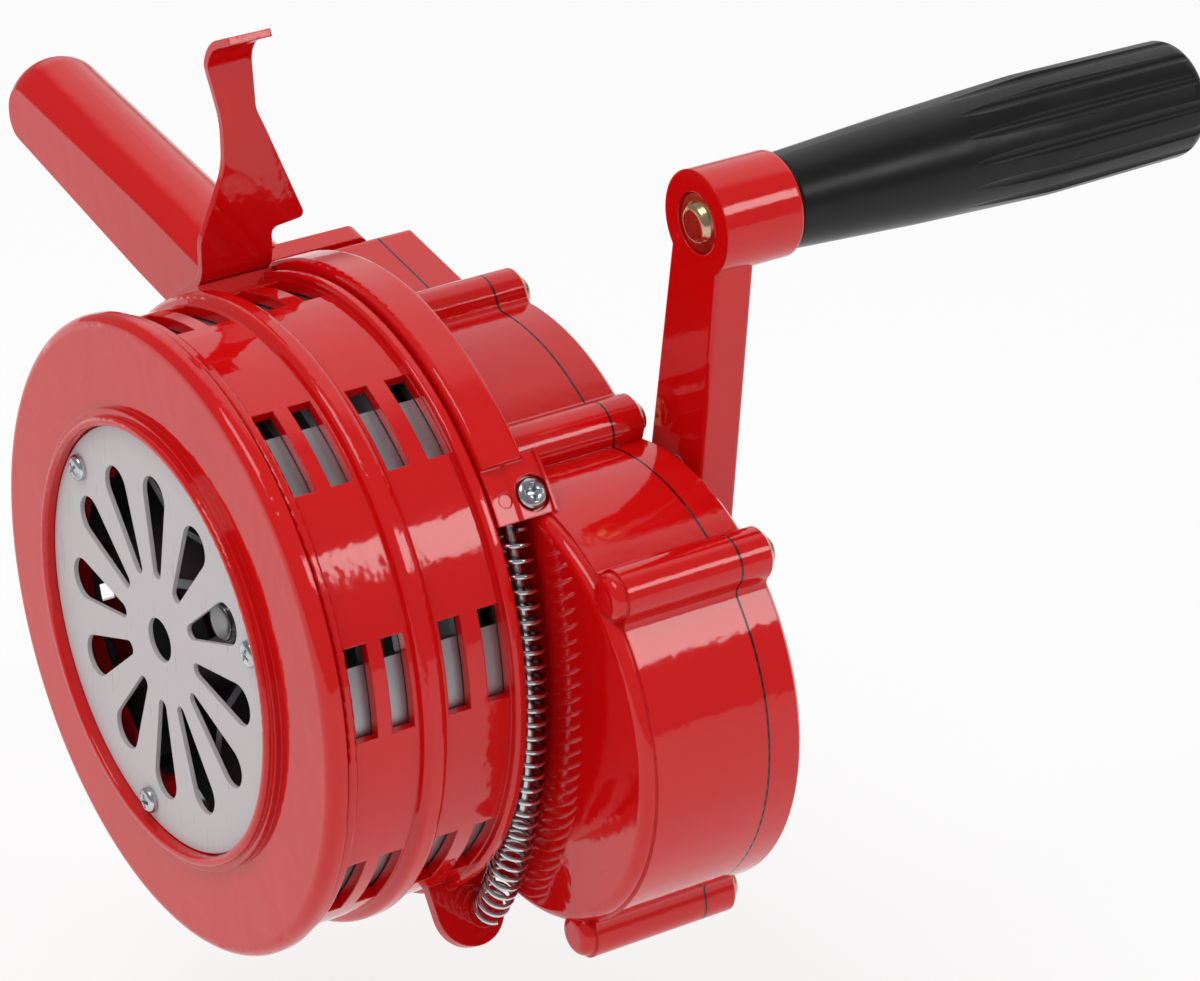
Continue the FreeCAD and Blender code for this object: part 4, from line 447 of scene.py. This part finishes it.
def pick_faces(piece, wanted):
    """Selects the faces that wanted(face) says yes to, and goes into edit mode."""
    select_only(piece)
    for kind in (piece.data.vertices, piece.data.edges):
        for element in kind:
            element.select = False
    for face in piece.data.polygons:
        face.select = wanted(face)
    bpy.ops.object.mode_set(mode="EDIT")
    bpy.ops.mesh.select_mode(type="FACE")


def cross_cutter(span, width, depth, top):
    """One arm of the tapered cross that a driver's tip leaves in a screw head."""
    tip_length, tip_width = 0.45, 0.8
    deselect_all()
    bpy.ops.mesh.primitive_cube_add(size=1, location=(0, 0, top - depth / 2), scale=(span, width, depth))
    arm = bpy.context.object
    bpy.ops.object.transform_apply(location=True, scale=True)
    pick_faces(arm, lambda face: face.normal.z < -0.9)
    bpy.ops.transform.resize(value=(tip_length, tip_width, 1), center_override=(0, 0, top - depth))
    bpy.ops.object.mode_set(mode="OBJECT")
    return arm


def cut_with(piece, cutter):
    """Cuts one solid out of another and removes the cutter."""
    cut = piece.modifiers.new("Cut", "BOOLEAN")
    cut.operation = "DIFFERENCE"
    cut.solver = "EXACT"
    cut.object = cutter
    apply_modifiers(piece)
    bpy.data.objects.remove(cutter)


def cross_head_screw(name, head, height, shank, length):
    """A pan-head screw with a cross recess, its seat on Z = 0 and its head towards +Z."""
    arm_span, arm_width, recess_depth, above = 1.2, 0.27, 0.78, 1.01
    edge_round, edge_angle, smooth_angle, sides = 0.1, 38, 32, 40
    piece = drawn_out([
        (shank * 0.7, -length),
        (shank, -length + shank * 0.4),
        (shank, 0),
        (head * 0.97, 0),
        (head, height * 0.08),
        (head, height * 0.42),
        (head * 0.95, height * 0.62),
        (head * 0.84, height * 0.8),
        (head * 0.66, height * 0.92),
        (head * 0.42, height * 0.985),
        (head * 0.16, height),
    ], sides)
    piece.name = name
    for turn in (0, math.pi / 2):
        arm = cross_cutter(head * arm_span, head * arm_width, height * recess_depth, height * above)
        arm.data.transform(Matrix.Rotation(turn, 4, "Z"))
        cut_with(piece, arm)
    select_only(piece)
    soften = piece.modifiers.new("Soften", "BEVEL")
    soften.width = edge_round * MM
    soften.segments = 2
    soften.limit_method = "ANGLE"
    soften.angle_limit = math.radians(edge_angle)
    apply_modifiers(piece)
    bpy.ops.object.shade_smooth_by_angle(angle=math.radians(smooth_angle))
    return piece


def islands(node):
    """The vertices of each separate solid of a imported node, as lists of points."""
    mesh = frame["nodes"][node].data
    finest = 1e-6
    keys = [tuple(round(c / finest) for c in vertex.co) for vertex in mesh.vertices]
    leader = {key: key for key in keys}

    def root(key):
        while leader[key] != key:
            leader[key] = leader[leader[key]]
            key = leader[key]
        return key

    for polygon in mesh.polygons:
        first = root(keys[polygon.vertices[0]])
        for index in polygon.vertices[1:]:
            leader[root(keys[index])] = first
    groups = {}
    for key, vertex in zip(keys, mesh.vertices):
        groups.setdefault(root(key), []).append(vertex.co.copy())
    return sorted(groups.values(), key=lambda points: tuple(points[0]))


def screw_seats(node, way, height):
    """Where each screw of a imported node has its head's seat, when all their heads point one way."""
    way = Vector(way).normalized()
    across = way.orthogonal().normalized()
    aside = way.cross(across)
    seats = []
    for points in islands(node):
        middle = Vector()
        for axis in (across, aside):
            reach = [point.dot(axis) for point in points]
            middle += axis * (min(reach) + max(reach)) / 2
        top = max(point.dot(way) for point in points)
        seats.append((middle + way * (top - height), way))
    return seats


def lay_screws(name, model, seats, seed):
    """One piece of like screws: a copy of the model at each seat, turned about its own axis at random."""
    turns = random.Random(seed)
    copies = []
    for point, way in seats:
        copy = model.copy()
        copy.data = model.data.copy()
        bpy.context.collection.objects.link(copy)
        turned = Matrix.Rotation(turns.uniform(0, math.pi), 4, "Z")
        standing = Vector((0, 0, 1)).rotation_difference(way).to_matrix().to_4x4()
        copy.data.transform(Matrix.Translation(point) @ standing @ turned)
        copies.append(copy)
    bpy.data.objects.remove(model)
    select_only(copies[0])
    for copy in copies:
        copy.select_set(True)
    if len(copies) > 1:
        bpy.ops.object.join()
    copies[0].name = name
    return copies[0]


def spring_arc():
    """The arc that the return spring is bent along: its centre, the way out to its middle, its half angle and ends."""
    size = sizes()
    top = size.spring_top_reach * Vector((math.cos(size.spring_top_angle), 0, math.sin(size.spring_top_angle)))
    out = Vector((math.cos(size.spring_foot_angle), 0, math.sin(size.spring_foot_angle)))
    foot = out * size.spring_foot_reach + Vector((-out.z, 0, out.x)) * size.spring_foot_lift
    top.y = foot.y = size.spring_place
    half = (foot - top).length / 2
    outward = Vector((foot.z - top.z, 0, top.x - foot.x)).normalized() * -1
    centre = (top + foot) / 2 - outward * math.sqrt(size.spring_bow ** 2 - half ** 2)
    return centre, outward, math.asin(half / size.spring_bow), top, foot


def wound_wire(name, coil, wire, length, turns):
    """A straight coil of round wire along Z, with its middle at the origin and closed ends."""
    sides, steps_a_turn, merge = 14, 28, 1e-6
    deselect_all()
    bpy.ops.mesh.primitive_circle_add(
        vertices=sides, radius=wire, location=(-coil, 0, -length / 2), rotation=(math.pi / 2, 0, 0))
    piece = bpy.context.object
    piece.name = name
    bpy.ops.object.transform_apply(location=True, rotation=True)
    wind = piece.modifiers.new("Wind", "SCREW")
    wind.axis = "Z"
    wind.angle = -2 * math.pi
    wind.screw_offset = length / turns
    wind.iterations = turns
    wind.steps = wind.render_steps = steps_a_turn
    wind.use_normal_calculate = True
    apply_modifiers(piece)
    bpy.ops.object.mode_set(mode="EDIT")
    bpy.ops.mesh.select_all(action="SELECT")
    bpy.ops.mesh.remove_doubles(threshold=merge)
    bpy.ops.mesh.select_all(action="SELECT")
    bpy.ops.mesh.fill_holes(sides=sides)
    bpy.ops.mesh.select_all(action="SELECT")
    bpy.ops.mesh.normals_make_consistent(inside=False)
    bpy.ops.object.mode_set(mode="OBJECT")
    return piece


# Operators


class SIREN_OT_finishes(bpy.types.Operator):
    """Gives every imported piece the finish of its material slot"""

    bl_idname = "siren.finishes"
    bl_label = "Finishes"

    def execute(self, context):
        for part in frame["record"]["subparts"]:
            seamed = part["node"] in SEAMED
            slot = "red_enamel_seam_shadow" if seamed else part["material_slot"]
            paint(frame["nodes"][part["node"]], finish_for(slot))
        return {"FINISHED"}


def replace_screws(name, node, slot, way, head, height, shank, length, seed):
    """Makes one screw, lays a copy on each seat of a packed group whose heads point one way, and finishes them."""
    model = cross_head_screw("screw", head, height, shank * MM, length * MM)
    screws = lay_screws(name, model, screw_seats(node, way, height), seed)
    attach(screws, "body")
    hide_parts(node)
    paint(screws, finish_for(slot))


class SIREN_OT_guard_screws(bpy.types.Operator):
    """Makes the three small cross-head screws that hold the intake guard"""

    bl_idname = "siren.guard_screws"
    bl_label = "Guard screws"

    def execute(self, context):
        size = sizes()
        replace_screws(
            "guard_cross_screws", "guard_screws", "zinc_steel", (0, -1, 0),
            size.guard_head, size.guard_head_height, shank=1.4, length=6, seed=3)
        return {"FINISHED"}


class SIREN_OT_cover_screws(bpy.types.Operator):
    """Makes the seven cross-head screws that hold the rear cover"""

    bl_idname = "siren.cover_screws"
    bl_label = "Cover screws"

    def execute(self, context):
        size = sizes()
        replace_screws(
            "cover_cross_screws", "cover_screws", "yellow_zinc", (0, 1, 0),
            size.screw_head, size.screw_head_height, shank=1.9, length=12, seed=7)
        return {"FINISHED"}


class SIREN_OT_anchor_screw(bpy.types.Operator):
    """Makes the cross-head screw in the round recess of the spring block"""

    bl_idname = "siren.anchor_screw"
    bl_label = "Anchor screw"

    def execute(self, context):
        size = sizes()
        way = (math.cos(size.anchor_angle), 0, math.sin(size.anchor_angle))
        replace_screws(
            "anchor_cross_screw", "anchor_screw", "zinc_steel", way,
            size.screw_head, size.screw_head_height, shank=1.9, length=9, seed=11)
        return {"FINISHED"}


class SIREN_OT_grip_screws(bpy.types.Operator):
    """Makes the two cross-head screws under the pistol grip"""

    bl_idname = "siren.grip_screws"
    bl_label = "Grip screws"

    def execute(self, context):
        size = sizes()
        way = (-math.cos(size.grip_rise), 0, math.sin(size.grip_rise))
        replace_screws(
            "grip_cross_screws", "grip_screws", "zinc_steel", way,
            size.screw_head, size.screw_head_height, shank=1.9, length=12, seed=5)
        return {"FINISHED"}


class SIREN_OT_return_spring(bpy.types.Operator):
    """Winds the return spring and bends it round its guide rod, from the block to the shutter's lug"""

    bl_idname = "siren.return_spring"
    bl_label = "Return spring"

    def execute(self, context):
        size = sizes()
        centre, outward, half_angle, top, foot = spring_arc()
        length = 2 * half_angle * size.spring_bow
        wire = size.spring_wire / 2
        spring = wound_wire("return_spring_coil", size.spring_outer / 2 - wire, wire, length, size.spring_turns)
        reach = [vertex.co.z for vertex in spring.data.vertices]
        bend = spring.modifiers.new("Bend", "SIMPLE_DEFORM")
        bend.deform_method = "BEND"
        bend.deform_axis = "Y"
        bend.angle = (max(reach) - min(reach)) / size.spring_bow
        apply_modifiers(spring)
        along = Vector((outward.z, 0, -outward.x))
        standing = Matrix((-outward, (0, 1, 0), along)).transposed().to_4x4()
        middle = centre + outward * size.spring_bow
        spring.data.transform(Matrix.Translation(middle) @ standing)
        select_only(spring)
        bpy.ops.object.shade_smooth_by_angle(angle=math.radians(50))
        paint(spring, finish_for("spring_steel"))
        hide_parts("return_spring")
        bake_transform(spring)
        return {"FINISHED"}


class SIREN_OT_stage(bpy.types.Operator):
    """Sets the pale floor, the white surroundings, the soft boxes and the camera"""

    bl_idname = "siren.stage"
    bl_label = "Stage"

    def execute(self, context):
        scene = context.scene
        scene.view_settings.view_transform = "Standard"
        make_floor()
        make_surroundings()
        make_soft_boxes()
        make_camera()
        return {"FINISHED"}


def seen_directly(tree):
    """1 where a ray comes from the camera, a reflection or a clear body, and 0 where it only brings light."""
    path = add_node(tree, "ShaderNodeLightPath").outputs
    mirrored = add_node(
        tree, "ShaderNodeMath", {0: path["Is Camera Ray"], 1: path["Is Glossy Ray"]}, operation="ADD")
    return add_node(
        tree, "ShaderNodeMath",
        {0: mirrored.outputs[0], 1: path["Is Transmission Ray"]}, operation="ADD", use_clamp=True).outputs[0]


def make_floor():
    """A matt pale floor that glows a little to the camera, so that it reads white and keeps the shadow."""
    glow_share, glow_strength = 0.62, 1.08
    deselect_all()
    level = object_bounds()[0].z - bpy.context.scene.siren_stage.floor_drop
    bpy.ops.mesh.primitive_plane_add(size=8, location=(0, 0, level))
    floor = bpy.context.object
    floor.name = "pale_floor"
    material = bpy.data.materials.new("Matt pale studio floor")
    material.use_nodes = True
    tree = material.node_tree
    tree.nodes.clear()
    share = add_node(tree, "ShaderNodeMath", {0: seen_directly(tree), 1: glow_share}, operation="MULTIPLY")
    matt = add_node(tree, "ShaderNodeBsdfDiffuse", {"Color": colours().floor[:]})
    glow = add_node(tree, "ShaderNodeEmission", {"Color": (1, 1, 1, 1), "Strength": glow_strength})
    mixed = add_node(
        tree, "ShaderNodeMixShader", {0: share.outputs[0], 1: matt.outputs["BSDF"], 2: glow.outputs["Emission"]})
    add_node(tree, "ShaderNodeOutputMaterial", {"Surface": mixed.outputs["Shader"]})
    floor.data.materials.append(material)
    floor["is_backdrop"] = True


def make_surroundings():
    """White all round to the camera. Reflections see it behind the siren, and a greyer room in front."""
    backdrop_way = (-0.55, 0.53, 0.645)
    room_level, backdrop_level, fill_strength = 0.3, 1.05, 0.75
    world = bpy.data.worlds.new("White studio")
    bpy.context.scene.world = world
    world.use_nodes = True
    tree = world.node_tree
    tree.nodes.clear()
    path = add_node(tree, "ShaderNodeLightPath")
    direction = add_node(tree, "ShaderNodeTexCoord").outputs["Generated"]
    facing = add_node(
        tree, "ShaderNodeVectorMath", {0: direction, 1: backdrop_way}, operation="DOT_PRODUCT")
    level = add_node(
        tree, "ShaderNodeMapRange",
        {
            "Value": facing.outputs["Value"],
            "From Min": 0.74,
            "From Max": 0.9,
            "To Min": room_level,
            "To Max": backdrop_level,
        },
        interpolation_type="SMOOTHSTEP")
    backdrop = add_node(
        tree, "ShaderNodeMix",
        {"Factor": path.outputs["Is Camera Ray"], "A": level.outputs["Result"], "B": (1, 1, 1, 1)},
        data_type="RGBA")
    fill = add_node(tree, "ShaderNodeBackground", {"Color": (1, 1, 1, 1), "Strength": fill_strength})
    white = add_node(tree, "ShaderNodeBackground", {"Color": backdrop.outputs["Result"], "Strength": 1.0})
    mixed = add_node(
        tree, "ShaderNodeMixShader",
        {0: seen_directly(tree), 1: fill.outputs["Background"], 2: white.outputs["Background"]})
    add_node(tree, "ShaderNodeOutputWorld", {"Surface": mixed.outputs["Shader"]})


def make_soft_boxes():
    """A soft box at the right and one overhead, where the enamel's highlights say that they stand."""
    # Name, azimuth, elevation, distance, width and height in metres, and radiance, where white is 1.
    boxes = (
        ("right_soft_box", 125, 33, 1.3, 0.3, 0.28, 6),
        ("top_soft_box", 5, 62, 1.4, 0.7, 0.5, 4),
    )
    centre = Vector((0, 60 * MM, 0))
    for name, azimuth, elevation, distance, width, height, radiance in boxes:
        a, e = math.radians(azimuth), math.radians(elevation)
        way = Vector((math.sin(a) * math.cos(e), -math.cos(a) * math.cos(e), math.sin(e)))
        light = bpy.data.lights.new(name, "AREA")
        light.shape = "RECTANGLE"
        light.size = width
        light.size_y = height
        light.energy = radiance * math.pi * width * height
        lamp = bpy.data.objects.new(name, light)
        bpy.context.collection.objects.link(lamp)
        lamp.location = centre + way * distance
        lamp.rotation_mode = "QUATERNION"
        lamp.rotation_quaternion = (-way).to_track_quat("-Z", "Y")


def make_camera():
    """The camera at the photograph's viewing angle."""
    sensor_width, nearest = 36, 0.01
    stage = bpy.context.scene.siren_stage
    a, e = stage.azimuth, stage.elevation
    back = Vector((math.sin(a) * math.cos(e), -math.cos(a) * math.cos(e), math.sin(e)))
    lens = bpy.data.cameras.new("camera")
    lens.lens = stage.lens
    lens.sensor_width = sensor_width
    lens.clip_start = nearest
    camera = bpy.data.objects.new("camera", lens)
    bpy.context.collection.objects.link(camera)
    camera.location = Vector(stage.aim) + back * stage.distance
    camera.rotation_mode = "QUATERNION"
    camera.rotation_quaternion = (-back).to_track_quat("-Z", "Y")
    bpy.context.scene.camera = camera


class SIREN_PT_panel(bpy.types.Panel):
    """Lists the siren's operators"""

    bl_idname = "SIREN_PT_panel"
    bl_label = "Hand crank siren"
    bl_space_type = "VIEW_3D"
    bl_region_type = "UI"
    bl_category = "Siren"

    def draw(self, context):
        for operator in OPERATORS:
            self.layout.operator(operator.bl_idname)


GROUPS = (SirenColours, SirenSizes, SirenStage)
OPERATORS = (
    SIREN_OT_finishes,
    SIREN_OT_guard_screws,
    SIREN_OT_cover_screws,
    SIREN_OT_anchor_screw,
    SIREN_OT_grip_screws,
    SIREN_OT_return_spring,
    SIREN_OT_stage,
)


def register():
    for kind in GROUPS + OPERATORS + (SIREN_PT_panel,):
        bpy.utils.register_class(kind)
    bpy.types.Scene.siren_colours = bpy.props.PointerProperty(type=SirenColours)
    bpy.types.Scene.siren_sizes = bpy.props.PointerProperty(type=SirenSizes)
    bpy.types.Scene.siren_stage = bpy.props.PointerProperty(type=SirenStage)


def unregister():
    del bpy.types.Scene.siren_stage
    del bpy.types.Scene.siren_sizes
    del bpy.types.Scene.siren_colours
    for kind in reversed(GROUPS + OPERATORS + (SIREN_PT_panel,)):
        bpy.utils.unregister_class(kind)


def main():
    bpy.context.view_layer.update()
    register()
    bpy.ops.siren.finishes()
    bpy.ops.siren.guard_screws()
    bpy.ops.siren.cover_screws()
    bpy.ops.siren.anchor_screw()
    bpy.ops.siren.grip_screws()
    bpy.ops.siren.return_spring()
    bpy.ops.siren.stage()


if __name__ == "__main__":
    main()
